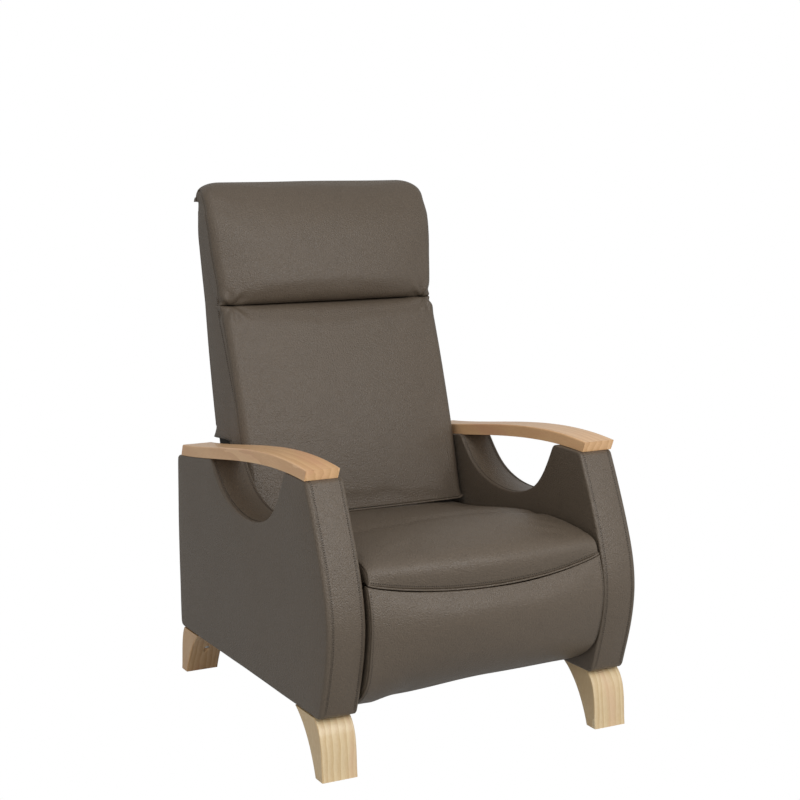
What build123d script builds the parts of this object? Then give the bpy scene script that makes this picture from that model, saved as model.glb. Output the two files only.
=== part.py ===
from build123d import *
import os
from math import atan2, cos, degrees, hypot, radians, sin

# Push-back recliner with upholstered arms, wooden armrests and four curved wooden legs.
# All sizes are in millimetres. X runs across the chair, Y from its front to its rear, Z up.
# The outlines are drawn from the front face of the front feet, and the finished chair is then
# moved along Y so that its origin is the middle of its footprint, on the floor.

# Sizes of the whole chair
overall_width = 740.0
arm_thickness = 85.0
arm_depth = 810.0
arm_height = 610.0
arm_floor_gap = 126.0
arm_rear_drop = 17.0
seat_side_gap = 10.0
inner_half = overall_width / 2 - arm_thickness
outer_half = overall_width / 2
seat_half = inner_half - seat_side_gap
overrun = 40.0

# Arm outline, as shares of the arm's depth and of its height above the legs
arm_front_shares = ((0.017, 0.0), (-0.027, 0.256), (-0.036, 0.411), (-0.002, 0.649), (0.093, 1.0))
armrest_under_shares = ((0.096, 0.994), (0.31, 0.99), (0.585, 0.938), (0.975, 0.847))
cutout_shares = ((0.736, 0.899), (0.663, 0.781), (0.543, 0.709), (0.41, 0.711),
                 (0.309, 0.783), (0.259, 0.886), (0.222, 1.0))
arm_edge_radius = 7.0
arm_corner_radius = 16.0
arm_padding = 10.0
arm_board = 15.0
arm_post = 45.0
curve_samples = 12

# Armrests and the dowels that hold them
armrest_width = 75.0
armrest_front_thickness = 23.0
armrest_middle_thickness = 27.0
armrest_edge_radius = 3.0
armrest_end_slant = 11.0
dowel_radius = 5.0
dowel_length = 60.0
dowel_bite = 16.0
dowel_place_shares = (0.08, 0.9)

# Legs and their screws
leg_width = 80.0
leg_reach = 141.0
leg_top_allowance = 4.0
leg_height = arm_floor_gap + leg_top_allowance
leg_outer_shares = ((0.0, 0.0), (0.03, 0.39), (0.11, 0.77), (0.35, 1.0))
leg_inner_shares = ((0.25, 0.0), (0.45, 0.44), (0.66, 0.72), (1.0, 0.97))
leg_edge_radius = 3.0
leg_screw_radius = 3.0
leg_screw_head_radius = 7.0
leg_screw_head_height = 5.0
leg_screw_recess = 10.0
leg_screw_place_shares = (0.4, 0.68)
leg_screw_depth = 32.0
rear_foot_reach = 8.0
rear_foot_line = arm_depth + rear_foot_reach

# Seat frame of wooden rails, and the cross rails that carry it between the arms
rail_thickness = 22.0
seat_rail_inset = 10.0
seat_frame_top = 358.0
seat_frame_height = 58.0
seat_front_rail_start = 24.0
seat_front_rail_depth = 34.0
seat_front_rail_height = 18.0
seat_rear_rail_setback = 84.0
seat_rear_rail_start = arm_depth - seat_rear_rail_setback
cross_rail_height = 70.0
front_cross_rail_start = 215.0
bolt_radius = 4.0
bolt_head_radius = 7.0
bolt_head_height = 5.0
bolt_bite = 45.0
bolt_height_shares = (0.25, 0.75)
rail_outer = seat_half - seat_rail_inset
rail_inner = rail_outer - rail_thickness
seat_frame_bottom = seat_frame_top - seat_frame_height
seat_frame_end = seat_rear_rail_start + rail_thickness

# Webbing
web_width = 55.0
web_thickness = 2.5
seat_web_count = 5
back_web_count = 6

# Rear apron between the arms
apron_thickness = 12.0
apron_setback = 22.0
apron_bottom = 116.0
apron_top = 372.0

# Seat cushion: the footrest turns about the middle of its rounded front edge
turn_centre = (-17.0, 431.0)
nose_radius_end = 28.0
nose_radius_middle = 62.0
seam_angle_end = -98.0
seam_angle_middle = -119.0
nose_back_angle = -54.0
footrest_gap = 2.0
seat_back_setback = 152.0
seat_depth = arm_depth - seat_back_setback
seat_crown = 16.0
seat_top_end_shares = ((-0.021, 0.71), (0.04, 0.9), (0.2, 1.0), (0.45, 0.84), (0.82, 0.45), (1.0, 0.38))
seat_bulge_shares = (0.42, 0.8, 1.0, 1.0, 0.5, 0.3)
seat_front_bulge = 36.0
seat_rise = 96.0
seat_edge_draw = 7.0
seat_nose_shares = (1.0, 0.6, 0.1, 0.0, 0.0, 0.0)
section_places_share = (-1.0, -0.94, -0.6, 0.0, 0.6, 0.94, 1.0)
seat_step_height = 24.0

# Footrest pad and board
footrest_front_end = ((-38.0, 345.0), (-33.0, 265.0), (-8.0, 200.0), (45.0, 158.0), (101.0, 133.0))
footrest_bulge_shares = (1.0, 0.95, 0.6, 0.3, 0.0)
footrest_bulge = 24.0
footrest_sag_shares = (0.0, 0.0, 0.2, 0.8, 1.0)
footrest_sag = 3.0
footrest_board_thickness = 12.0
footrest_board_back = 20.0
footrest_board_top = 370.0
footrest_board_bottom = 205.0
footrest_board_inset = 14.0
footrest_back_angle = -72.0
footrest_tip_step = (4.0, 18.0)
footrest_flange_rise = 22.0
footrest_flange_drop = 14.0
footrest_flange_width = 34.0
footrest_side_gap = 1.0

# Steel linkage of the footrest: flat links on riveted pivots, in two layers each side
steel = 4.0
layer_gap = 2.0
link_width = 18.0
pin_radius = 4.0
pin_clearance = 0.08
rivet_head_radius = 6.5
rivet_head = 1.5
front_link_pivot = (76.0, 338.0)
footrest_pivot = (46.0, 300.0)
link_offset = 62.0
rivet_play = 0.2
open_pivot_clearance = 0.3
bracket_pivot_radius = 11.0
plate_pivot_radius = 12.0
tube_distance = 86.0
tube_radius = 8.0
tube_wall = 1.5
footrest_swing = 82.0

# Back hinge, its brackets and the rods that drive the footrest
back_pivot_setback = 132.0
back_pivot_height = 395.0
back_pivot = (arm_depth - back_pivot_setback, back_pivot_height)
hinge_foot_setback = 136.0
hinge_plate_foot = arm_depth - hinge_foot_setback
hinge_plate_rise = 26.0
bracket_reach = (24.0, 55.0)
bracket_top = (44.0, 145.0)
back_recline = 32.0
back_lug_drop = 52.0
rod_eye_radius = 13.0
rod_eye_clearance = 0.6
rod_washer_radius = 9.5
side_plate_end = 200.0

# Backrest
back_bottom = 412.0
pillow_seam = 891.0
back_top = 1176.0
back_side_gap = 1.0
back_seam_spread = 3.0
back_top_spread = 17.0
back_half_bottom = seat_half - back_side_gap
back_half_seam = back_half_bottom + back_seam_spread
back_half_top = back_half_bottom + back_top_spread
back_line_setback = 142.0
back_line_lean = 184.0
back_rear_setback = 58.0
back_rear_middle_lean = 83.0
back_rear_top_lean = 126.0
back_line_bottom = arm_depth - back_line_setback
back_line_top = back_line_bottom + back_line_lean
back_rear_bottom = arm_depth - back_rear_setback
back_rear_middle = back_rear_bottom + back_rear_middle_lean
back_rear_top = back_rear_bottom + back_rear_top_lean
back_corner_radius = 45.0
cover_wall = 9.0
cover_hem_height = 575.0
hem_reach = 26.0
hem_height = 18.0
hem_thickness = 4.0
lining_wall = 3.0
back_rail_thickness = 25.0
back_rail_height = 45.0
pillow_clearance = 1.0
side_draw = 3.0
back_rear_drop = 41.0
back_rear_top_height = back_top - back_rear_drop
rear_arc_rise = 4.0
cover_crest_depth = 12.0
hem_root_shift = 31.0
back_rail_foot_gap = 14.0
back_rail_head_gap = 36.0
back_rail_depth_bottom = 48.0
back_rail_depth_top = 20.0
# Each row: share of the height, of the lean at the side's front edge, of the crown and of the half width
back_cushion_shares = ((0.0, -0.14, 0.25, 0.995), (0.13, -0.06, 0.6, 1.004), (0.36, 0.11, 0.85, 1.006),
                       (0.6, 0.315, 1.0, 1.009), (0.86, 0.555, 0.85, 1.012), (0.965, 0.69, 0.4, 1.012),
                       (1.0, 0.765, 0.1, 1.0))
back_crown = 24.0
back_front_setback = 210.0
back_front_bottom = arm_depth - back_front_setback
back_front_lean = 196.0
pillow_shares = ((0.0, 0.79, 0.15, 0.955), (0.1, 0.785, 0.75, 0.965), (0.35, 0.81, 1.0, 0.976),
                 (0.62, 0.88, 0.85, 0.988), (0.85, 1.01, 0.5, 1.0), (0.955, 1.13, 0.25, 0.965),
                 (1.0, 1.24, 0.1, 0.86))
pillow_crown = 36.0

os.makedirs("parts", exist_ok=True)
pieces = {}


# Small helpers for points in the side view, held as (Y, Z)
def plus(point, step, share=1.0):
    return (point[0] + step[0] * share, point[1] + step[1] * share)


def minus(point, other):
    return (point[0] - other[0], point[1] - other[1])


def unit(step):
    length = hypot(step[0], step[1])
    return (step[0] / length, step[1] / length)


def around(centre, radius, angle):
    return (centre[0] + radius * cos(radians(angle)), centre[1] + radius * sin(radians(angle)))


def side_plane(x):
    return Plane.YZ.offset(x)


def slab(face, x_low, x_high):
    """A side view face made solid between two places across the chair."""
    return extrude(side_plane(x_low) * face, amount=x_high - x_low)


def rod(y, z, radius, x_low, x_high):
    """A round bar that lies across the chair."""
    middle = (x_low + x_high) / 2
    return Pos(middle, y, z) * Rot(0, 90, 0) * Cylinder(radius, x_high - x_low)


def upright(x, y, z_low, z_high, radius):
    """A round bar that stands upright."""
    return Pos(x, y, (z_low + z_high) / 2) * Cylinder(radius, z_high - z_low)


def block(x_low, x_high, y_low, y_high, z_low, z_high):
    """A plain wooden rail between its six faces."""
    centre = Pos((x_low + x_high) / 2, (y_low + y_high) / 2, (z_low + z_high) / 2)
    return centre * Box(x_high - x_low, y_high - y_low, z_high - z_low)


def mirrored(solid):
    return mirror(solid, about=Plane.YZ)


def both_sides(name, solid):
    """Adds a right-hand piece and its left-hand mirror image."""
    pieces[name + "_right"] = solid
    pieces[name + "_left"] = mirrored(solid)


def group(name, solids):
    """Adds identical fasteners as one node of separate solids, on both sides of the chair."""
    pieces[name] = apart(list(solids) + [mirrored(solid) for solid in solids])


def apart(solids):
    """Several separate solids held together as one node."""
    return Compound([part.solid() for part in solids])


def smooth(points):
    return Spline(*points)


# Arms: outline, cut-out under the armrest, padding and the wooden frame inside
arm_rise = arm_height - arm_floor_gap
floor_front = (arm_front_shares[0][0] * arm_depth, arm_floor_gap)
floor_rear = (arm_depth, arm_floor_gap - arm_rear_drop)


def arm_point(share):
    return (share[0] * arm_depth, arm_floor_gap + share[1] * arm_rise)


def floor_line(y):
    """Height of the arm's underside at a place along the chair."""
    run = (y - floor_front[0]) / (floor_rear[0] - floor_front[0])
    return floor_front[1] - run * arm_rear_drop


def arm_curve(shares, inset=0):
    """The smooth curve through a row of arm points, moved to its right-hand side by an inset."""
    curve = smooth([arm_point(share) for share in shares])
    if inset == 0:
        return curve
    moved = []
    for index in range(curve_samples + 1):
        place, along = curve @ (index / curve_samples), curve % (index / curve_samples)
        moved.append((place.X + along.Y * inset, place.Y - along.X * inset))
    return smooth(moved)


def armrest_curve():
    return arm_curve(armrest_under_shares)


def above_armrest_curve(inset=0):
    """Everything over the armrest's underside, as a face to cut the arm with."""
    curve = arm_curve(armrest_under_shares, inset)
    front, rear, rearward = curve @ 0, curve @ 1, curve % 1
    lead, tail = (front.X - arm_padding - overrun, front.Y), (rear + rearward * overrun)
    ceiling = arm_height + overrun
    return make_face([Line(tail, (tail.X, ceiling)), Line((tail.X, ceiling), (lead[0], ceiling)),
                      Line((lead[0], ceiling), lead), Line(lead, front), curve, Line(rear, tail)])


def cutout_face(inset=0):
    curve = arm_curve(cutout_shares, -inset)
    rear, front = curve @ 0, curve @ 1
    ceiling = arm_height + overrun
    return make_face([curve, Line(front, (front.X, ceiling)), Line((front.X, ceiling), (rear.X, ceiling)),
                      Line((rear.X, ceiling), rear)])


def arm_outline():
    front = arm_curve(arm_front_shares)
    head, upward = front @ 1, front % 1
    ceiling = arm_height + overrun
    crest = (head.X + upward.X * (ceiling - head.Y) / upward.Y, ceiling)
    top_rear = (floor_rear[0], ceiling)
    face = make_face([front, Line(head, crest), Line(crest, top_rear),
                      Line(top_rear, floor_rear), Line(floor_rear, floor_front)])
    corners = face.vertices().sort_by(Axis.Y)[:2]
    return fillet(corners, arm_corner_radius)


def inner_outline(inset):
    """The arm's outline drawn in by an inset at its front, rear and underside."""
    front = arm_curve(arm_front_shares, inset)
    foot, head = front @ 0, front @ 1
    top = arm_height + overrun
    rear_line = arm_depth - inset
    face = make_face([front, Line(head, (head.X, top)), Line((head.X, top), (rear_line, top)),
                      Line((rear_line, top), (rear_line, 0)), Line((rear_line, 0), (foot.X, 0)),
                      Line((foot.X, 0), foot)])
    return face - under_floor_line(inset)


def under_floor_line(inset):
    low_y, high_y = -overrun, arm_depth + overrun
    low, high = (low_y, floor_line(low_y) + inset), (high_y, floor_line(high_y) + inset)
    return make_face([Line(low, high), Line(high, (high_y, -overrun)), Line((high_y, -overrun), (low_y, -overrun)),
                      Line((low_y, -overrun), low)])


def below(height):
    """Everything in the side view under a height."""
    length = arm_depth * 2
    return Pos(0, height - length / 2) * Rectangle(length * 2, length)


outline = arm_outline()
frame_face = inner_outline(arm_padding) - above_armrest_curve(arm_padding) - cutout_face(arm_padding)
arm_body = slab(outline, inner_half, outer_half)
side_faces = arm_body.faces().sort_by(Axis.X)
arm_body = fillet(side_faces[0].edges() + side_faces[-1].edges(), arm_edge_radius)
arm_body = arm_body - slab(above_armrest_curve(), 0, overall_width) - slab(cutout_face(), 0, overall_width)
frame_low = inner_half + arm_padding
frame_high = outer_half - arm_padding
arm_upholstery = arm_body - slab(frame_face, frame_low, frame_high)
arm_inner_board = slab(frame_face, frame_low, frame_low + arm_board)
arm_outer_board = slab(frame_face, frame_high - arm_board, frame_high)
cutout_floor = min(arm_point(share)[1] for share in cutout_shares)
hollow_inset = arm_padding + arm_post
spacer_face = frame_face - (inner_outline(hollow_inset) & below(cutout_floor - hollow_inset))
arm_spacer = slab(spacer_face, frame_low + arm_board, frame_high - arm_board)


# Armrest: a shallow wooden arch whose upper edges are rounded
def armrest_solid():
    under = [arm_point(share) for share in armrest_under_shares]
    front_step = (-armrest_end_slant, armrest_front_thickness)
    rear_step = (-armrest_end_slant, armrest_middle_thickness)
    middle_step = (0, armrest_middle_thickness)
    steps = (front_step, middle_step, middle_step, rear_step)
    upper = [plus(point, step) for point, step in zip(under, steps)]
    face = make_face([armrest_curve(), Line(under[-1], upper[-1]), smooth(upper), Line(upper[0], under[0])])
    solid = slab(face, outer_half - armrest_width, outer_half)
    upper_edges = solid.edges().filter_by(GeomType.BSPLINE).sort_by(Axis.Z)[-2:]
    return fillet(upper_edges, armrest_edge_radius)


armrest = armrest_solid()
dowels = []
for place in dowel_place_shares:
    seat = armrest_curve() @ place
    middle_x = outer_half - arm_thickness / 2
    dowels.append(upright(middle_x, seat.X, seat.Y + dowel_bite - dowel_length, seat.Y + dowel_bite, dowel_radius))


# Legs: curved brackets, cut to the slope of the arm's underside
def leg_curve(shares):
    return smooth([(share[0] * leg_reach, share[1] * leg_height) for share in shares])


def leg_blank():
    outer, inner = leg_curve(leg_outer_shares), leg_curve(leg_inner_shares)
    face = make_face([outer, Line(outer @ 1, inner @ 1), inner, Line(inner @ 0, outer @ 0)])
    solid = slab(face, outer_half - leg_width, outer_half)
    ends = solid.edges().filter_by(GeomType.BSPLINE)
    return fillet(ends, leg_edge_radius)


def over_floor_line():
    front, rear = -overrun, arm_depth + overrun
    ceiling = arm_height
    return make_face([Line((front, floor_line(front)), (rear, floor_line(rear))),
                      Line((rear, floor_line(rear)), (rear, ceiling)), Line((rear, ceiling), (front, ceiling)),
                      Line((front, ceiling), (front, floor_line(front)))])


def turned_leg(solid):
    """The rear leg is the front leg turned to face backwards."""
    return Pos(0, rear_foot_line, 0) * mirror(solid, about=Plane.XZ)


leg_x = outer_half - leg_width / 2
screw_places = [leg_curve(leg_inner_shares) @ share for share in leg_screw_place_shares]
above_legs = slab(over_floor_line(), 0, overall_width)
leg_screws = []
for name, turned in (("front_leg", False), ("rear_leg", True)):
    leg = turned_leg(leg_blank()) if turned else leg_blank()
    leg = leg - above_legs
    for place in screw_places:
        y = rear_foot_line - place.X if turned else place.X
        head_seat = place.Y + leg_screw_recess
        top = floor_line(y) + leg_screw_depth
        shank = upright(leg_x, y, head_seat, top, leg_screw_radius)
        head = upright(leg_x, y, head_seat - leg_screw_head_height, head_seat, leg_screw_head_radius)
        leg = leg - upright(leg_x, y, 0, head_seat, leg_screw_head_radius) - shank
        arm_upholstery = arm_upholstery - shank
        arm_spacer = arm_spacer - shank
        leg_screws.append(shank + head)
    both_sides(name, leg)

# Seat frame and the rails that join the arms
seat_side_rail = block(rail_inner, rail_outer, seat_front_rail_start, seat_frame_end,
                       seat_frame_bottom, seat_frame_top)
front_rail = block(-rail_inner, rail_inner, seat_front_rail_start, seat_front_rail_start + seat_front_rail_depth,
                   seat_frame_top - seat_front_rail_height, seat_frame_top)
rear_rail = block(-rail_inner, rail_inner, seat_rear_rail_start, seat_frame_end, seat_frame_bottom, seat_frame_top)
layer_pitch = steel + layer_gap
plate_low, plate_high = rail_inner - steel, rail_inner
link_low, link_high = plate_low - layer_pitch, plate_high - layer_pitch
inner_low, inner_high = link_low - layer_pitch, link_high - layer_pitch
cross_rail_bottom = seat_frame_bottom - cross_rail_height
front_cross_rail = block(-inner_half, inner_half, front_cross_rail_start, front_cross_rail_start + rail_thickness,
                         cross_rail_bottom, seat_frame_bottom)
rear_cross_rail = block(-inner_half, inner_half, seat_rear_rail_start, seat_frame_end,
                        cross_rail_bottom, seat_frame_bottom)
apron = block(-inner_half, inner_half, arm_depth - apron_setback, arm_depth - apron_setback + apron_thickness,
              apron_bottom, apron_top)

# Bolts from inside the arms into the ends of the cross rails
bolts = []
bolt_seat = frame_low + arm_board
for start in (front_cross_rail_start, seat_rear_rail_start):
    for share in bolt_height_shares:
        y, z = start + rail_thickness / 2, cross_rail_bottom + cross_rail_height * share
        shank = rod(y, z, bolt_radius, inner_half - bolt_bite, bolt_seat)
        head = rod(y, z, bolt_head_radius, bolt_seat, bolt_seat + bolt_head_height)
        arm_upholstery = arm_upholstery - shank
        arm_inner_board = arm_inner_board - shank
        front_cross_rail = front_cross_rail - shank - mirrored(shank)
        rear_cross_rail = rear_cross_rail - shank - mirrored(shank)
        bolts.append(shank + head)

for dowel in dowels:
    armrest = armrest - dowel
    arm_upholstery = arm_upholstery - dowel
    arm_spacer = arm_spacer - dowel
both_sides("arm_upholstery", arm_upholstery)
both_sides("arm_inner_board", arm_inner_board)
both_sides("arm_outer_board", arm_outer_board)
both_sides("arm_spacer_frame", arm_spacer)
both_sides("armrest", armrest)
group("armrest_dowels", dowels)
group("leg_screws", leg_screws)
group("cross_rail_bolts", bolts)
both_sides("seat_side_rail", seat_side_rail)
pieces["seat_front_rail"] = front_rail
pieces["seat_rear_rail"] = rear_rail
pieces["front_cross_rail"] = front_cross_rail
pieces["rear_cross_rail"] = rear_cross_rail
pieces["rear_apron"] = apron

# Seat webbing
web_pitch = 2 * rail_inner / seat_web_count
straps = []
for index in range(seat_web_count):
    middle = (index + 0.5) * web_pitch - rail_inner
    straps.append(block(middle - web_width / 2, middle + web_width / 2, seat_front_rail_start, seat_frame_end,
                        seat_frame_top, seat_frame_top + web_thickness))
pieces["seat_webbing"] = apart(straps)

# Seat cushion and footrest pad: both are lofted across the chair through side view sections, and
# meet on arcs about the footrest's turning centre, so that the gap between them never closes
cushion_bottom = seat_frame_top + web_thickness
board_front = footrest_board_back - footrest_board_thickness


def swell(share):
    """How full the cushions are at a place across the seat, 1 in the middle and 0 at the sides."""
    return 1 - share * share


def between(end, middle, share):
    return end + (middle - end) * swell(share)


def seat_section(share):
    nose = between(nose_radius_end, nose_radius_middle, share)
    seam = between(seam_angle_end, seam_angle_middle, share)
    draw = seat_edge_draw if abs(share) == 1 else 0
    top = []
    for place, crown, forward in zip(seat_top_end_shares, seat_bulge_shares, seat_nose_shares):
        y = place[0] * seat_depth - forward * seat_front_bulge * swell(share)
        z = cushion_bottom + place[1] * seat_rise + crown * (seat_crown * swell(share) - draw)
        top.append((y, z))
    seam_point = around(turn_centre, nose, seam)
    back_point = around(turn_centre, nose, nose_back_angle)
    under_point = around(turn_centre, nose, (seam + nose_back_angle) / 2)
    step = (seat_front_rail_start, cushion_bottom + seat_step_height)
    return make_face([smooth([seam_point] + top), Line(top[-1], (seat_depth, cushion_bottom)),
                      Line((seat_depth, cushion_bottom), (seat_front_rail_start, cushion_bottom)),
                      Line((seat_front_rail_start, cushion_bottom), step), Line(step, back_point),
                      ThreePointArc(back_point, under_point, seam_point)])


def footrest_section(share):
    nose = between(nose_radius_end, nose_radius_middle, share) + footrest_gap
    seam = between(seam_angle_end, seam_angle_middle, share)
    front = []
    for place, bulge, sag in zip(footrest_front_end, footrest_bulge_shares, footrest_sag_shares):
        full = swell(share)
        front.append((place[0] - bulge * footrest_bulge * full, place[1] - sag * footrest_sag * full))
    seam_point = around(turn_centre, nose, seam)
    back_point = around(turn_centre, nose, footrest_back_angle)
    under_point = around(turn_centre, nose, (seam + footrest_back_angle) / 2)
    tip = front[-1]
    inner_tip = plus(tip, footrest_tip_step)
    ledge = (footrest_board_back, footrest_board_bottom)
    lower, upper = (board_front, footrest_board_bottom), (board_front, footrest_board_top)
    return make_face([smooth([seam_point] + front), Line(tip, inner_tip), Line(inner_tip, ledge),
                      Line(ledge, lower), Line(lower, upper), Line(upper, back_point),
                      ThreePointArc(back_point, under_point, seam_point)])


def lofted_across(section, half):
    return loft([side_plane(share * half) * section(share) for share in section_places_share])


pieces["seat_cushion"] = lofted_across(seat_section, seat_half)
footrest_half = seat_half - footrest_side_gap
pieces["footrest_pad"] = lofted_across(footrest_section, footrest_half)
board_half = footrest_half - footrest_board_inset
pieces["footrest_board"] = block(-board_half, board_half, board_front, footrest_board_back,
                                 footrest_board_bottom, footrest_board_top)

# Footrest linkage. Its links form two parallelograms, so the footrest turns exactly about the
# turning centre inside the seat's front edge, where no pivot could be fixed.
carry = minus(turn_centre, front_link_pivot)
along_lower = unit(carry)
knee_pivot = minus(footrest_pivot, carry)
along_front = unit(minus(knee_pivot, front_link_pivot))
front_link_end = plus(knee_pivot, along_front, link_offset)
footrest_upper_pivot = footrest_pivot
footrest_lower_pivot = plus(footrest_pivot, along_front, link_offset)
rear_link_pivot = plus(front_link_pivot, along_lower, -link_offset)
rear_knee_pivot = plus(knee_pivot, along_lower, -link_offset)
tube_place = plus(front_link_pivot, along_front, tube_distance)

# The rod's lugs hang evenly about the vertical over the whole travel and move the same way along
# the chair, so the rod only travels to and fro
half_recline, half_swing = radians(back_recline / 2), radians(footrest_swing / 2)
rod_lug_distance = back_lug_drop * sin(half_recline) / sin(half_swing)
rod_lug = plus(front_link_pivot, (sin(half_swing), -cos(half_swing)), rod_lug_distance)
back_lug = plus(back_pivot, (sin(half_recline), -cos(half_recline)), back_lug_drop)
rod_eye_drop = rod_lug_distance * (1 - cos(half_swing)) - back_lug_drop * (1 - cos(half_recline))


def disc(place, radius):
    return Pos(place[0], place[1]) * Circle(radius)


def hull(places):
    """The flat plate round a set of eyes, each a place and a radius."""
    rims = ShapeList()
    for place, radius in places:
        rims.extend(disc(place, radius).edges())
    return make_hull(rims)


def link(start, end, low, high, fixed, running):
    """A flat steel link with round ends; fixed eyes hold their rivet, running eyes turn on one."""
    step = minus(end, start)
    middle = plus(start, step, 0.5)
    angle = degrees(atan2(step[1], step[0]))
    face = Pos(middle[0], middle[1]) * Rot(0, 0, angle) * SlotCenterToCenter(hypot(step[0], step[1]), link_width)
    for place in fixed:
        face = face - disc(place, pin_radius)
    for place, clearance in running:
        face = face - disc(place, pin_radius + clearance)
    return slab(face, low, high)


def rivet(place, holder_face, shoulder_end, turning_end, head_radius=rivet_head_radius):
    """A shouldered rivet: shank from its holder through the turning link, with a head beyond."""
    shank = rod(place[0], place[1], pin_radius, turning_end - rivet_play - rivet_head, holder_face)
    shoulder = rod(place[0], place[1], rivet_head_radius, turning_end + steel + rivet_play, shoulder_end)
    head = rod(place[0], place[1], head_radius, turning_end - rivet_play - rivet_head,
               turning_end - rivet_play)
    return shank + shoulder + head


front_link = link(front_link_pivot, front_link_end, link_low, link_high,
                  (rod_lug, knee_pivot, front_link_end), ((front_link_pivot, pin_clearance),))
front_link_ear = disc(rod_lug, bracket_pivot_radius) - disc(rod_lug, pin_radius)
front_link_ear = front_link_ear - disc(front_link_pivot, pin_radius + pin_clearance)
front_link = front_link + slab(front_link_ear, link_low, link_high)
rear_link = link(rear_link_pivot, rear_knee_pivot, link_low, link_high,
                 (rear_knee_pivot,), ((rear_link_pivot, pin_clearance),))
lower_link = link(rear_knee_pivot, footrest_upper_pivot, inner_low, inner_high, (),
                  ((rear_knee_pivot, open_pivot_clearance), (knee_pivot, pin_clearance),
                   (footrest_upper_pivot, pin_clearance)))
upper_link = link(front_link_end, footrest_lower_pivot, inner_low, inner_high, (),
                  ((front_link_end, pin_clearance), (footrest_lower_pivot, open_pivot_clearance)))
both_sides("front_link", front_link)
both_sides("rear_link", rear_link + rivet(rear_knee_pivot, link_high, link_low, inner_low))
both_sides("lower_link", lower_link)
both_sides("upper_link", upper_link)

side_plate_face = hull(((front_link_pivot, plate_pivot_radius), (rear_link_pivot, plate_pivot_radius),
                        ((side_plate_end, front_link_pivot[1]), plate_pivot_radius)))
side_plate = slab(side_plate_face - disc(front_link_pivot, pin_radius) - disc(rear_link_pivot, pin_radius),
                  plate_low, plate_high)
hinge_foot = (hinge_plate_foot, seat_frame_bottom + hinge_plate_rise)
hinge_heel = (seat_rear_rail_start - plate_pivot_radius - layer_gap, seat_frame_bottom + hinge_plate_rise)
hinge_face = hull(((back_pivot, plate_pivot_radius), (hinge_foot, plate_pivot_radius),
                   (hinge_heel, plate_pivot_radius)))
hinge_plate = slab(hinge_face - disc(back_pivot, pin_radius), plate_low, plate_high)
both_sides("side_plate", side_plate)
both_sides("hinge_plate", hinge_plate)
group("plate_rivets", [rivet(place, plate_high, plate_low, link_low)
                       for place in (front_link_pivot, rear_link_pivot, back_pivot)])
link_rivets = [rivet(place, link_high, link_low, inner_low) for place in (knee_pivot, front_link_end)]
rod_rivet = rivet(rod_lug, link_high, link_low, inner_low, rod_washer_radius)
group("front_link_rivets", link_rivets + [rod_rivet])
group("footrest_rivets", [rivet(place, link_high, link_low, inner_low)
                          for place in (footrest_upper_pivot, footrest_lower_pivot)])

tube = rod(tube_place[0], tube_place[1], tube_radius, -link_low, link_low)
pieces["link_cross_tube"] = tube - rod(tube_place[0], tube_place[1], tube_radius - tube_wall, -link_low, link_low)

# Footrest brackets: a web with the two pivots and a flange that is screwed to the board
flange_high = footrest_upper_pivot[1] + footrest_flange_rise
flange_low = footrest_lower_pivot[1] - footrest_flange_drop
bracket_face = hull(((footrest_upper_pivot, bracket_pivot_radius), (footrest_lower_pivot, bracket_pivot_radius),
                     ((footrest_board_back, flange_high - bracket_pivot_radius), bracket_pivot_radius),
                     ((footrest_board_back, flange_low + bracket_pivot_radius), bracket_pivot_radius)))
bracket_web = slab(bracket_face - disc(footrest_upper_pivot, pin_radius) - disc(footrest_lower_pivot, pin_radius),
                   link_low, link_high)
bracket_web = bracket_web - block(0, overall_width, -overrun * 2, footrest_board_back, 0, arm_height)
bracket_flange = block(link_high - footrest_flange_width, link_high, footrest_board_back,
                       footrest_board_back + steel, flange_low, flange_high)
both_sides("footrest_bracket", bracket_web + bracket_flange)

# Back brackets and drive rods
bracket_low_arm = hull(((back_pivot, bracket_pivot_radius), (back_lug, link_width / 2)))
bracket_eye_low = (back_pivot[0] + bracket_reach[0], back_pivot[1] + bracket_reach[1])
bracket_eye_high = (back_pivot[0] + bracket_top[0], back_pivot[1] + bracket_top[1])
bracket_mid_arm = hull(((back_pivot, bracket_pivot_radius), (bracket_eye_low, bracket_pivot_radius)))
bracket_high_arm = hull(((bracket_eye_low, bracket_pivot_radius), (bracket_eye_high, bracket_pivot_radius)))
back_bracket_face = bracket_low_arm + bracket_mid_arm + bracket_high_arm
back_bracket_face = back_bracket_face - disc(back_pivot, pin_radius + pin_clearance) - disc(back_lug, pin_radius)
back_bracket = slab(back_bracket_face, link_low, link_high)
both_sides("back_bracket", back_bracket + rivet(back_lug, link_high, link_low, inner_low))
drive_rod = link(back_lug, rod_lug, inner_low, inner_high, (), ((back_lug, pin_clearance),))
rod_eye = Pos(rod_lug[0], rod_lug[1] - rod_eye_drop / 2)
drive_rod = drive_rod + slab(rod_eye * Circle(rod_eye_radius), inner_low, inner_high)
eye_hole = rod_eye * Rot(0, 0, 90) * SlotCenterToCenter(rod_eye_drop, 2 * (pin_radius + rod_eye_clearance))
both_sides("drive_rod", drive_rod - slab(eye_hole, inner_low, inner_high))


# Backrest: wooden frame, webbing, lower cushion, head pillow, leather cover and dust lining
def back_line(z):
    """Where the cushions end and the frame begins, at a height."""
    return back_line_bottom + (back_line_top - back_line_bottom) * (z - back_bottom) / (back_top - back_bottom)


def back_strip(z_low, z_high, start, depth_low, depth_high):
    low, high = (back_line(z_low) + start, z_low), (back_line(z_high) + start, z_high)
    low_rear, high_rear = (low[0] + depth_low, z_low), (high[0] + depth_high, z_high)
    return make_face([Line(low, low_rear), Line(low_rear, high_rear), Line(high_rear, high), Line(high, low)])


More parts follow.
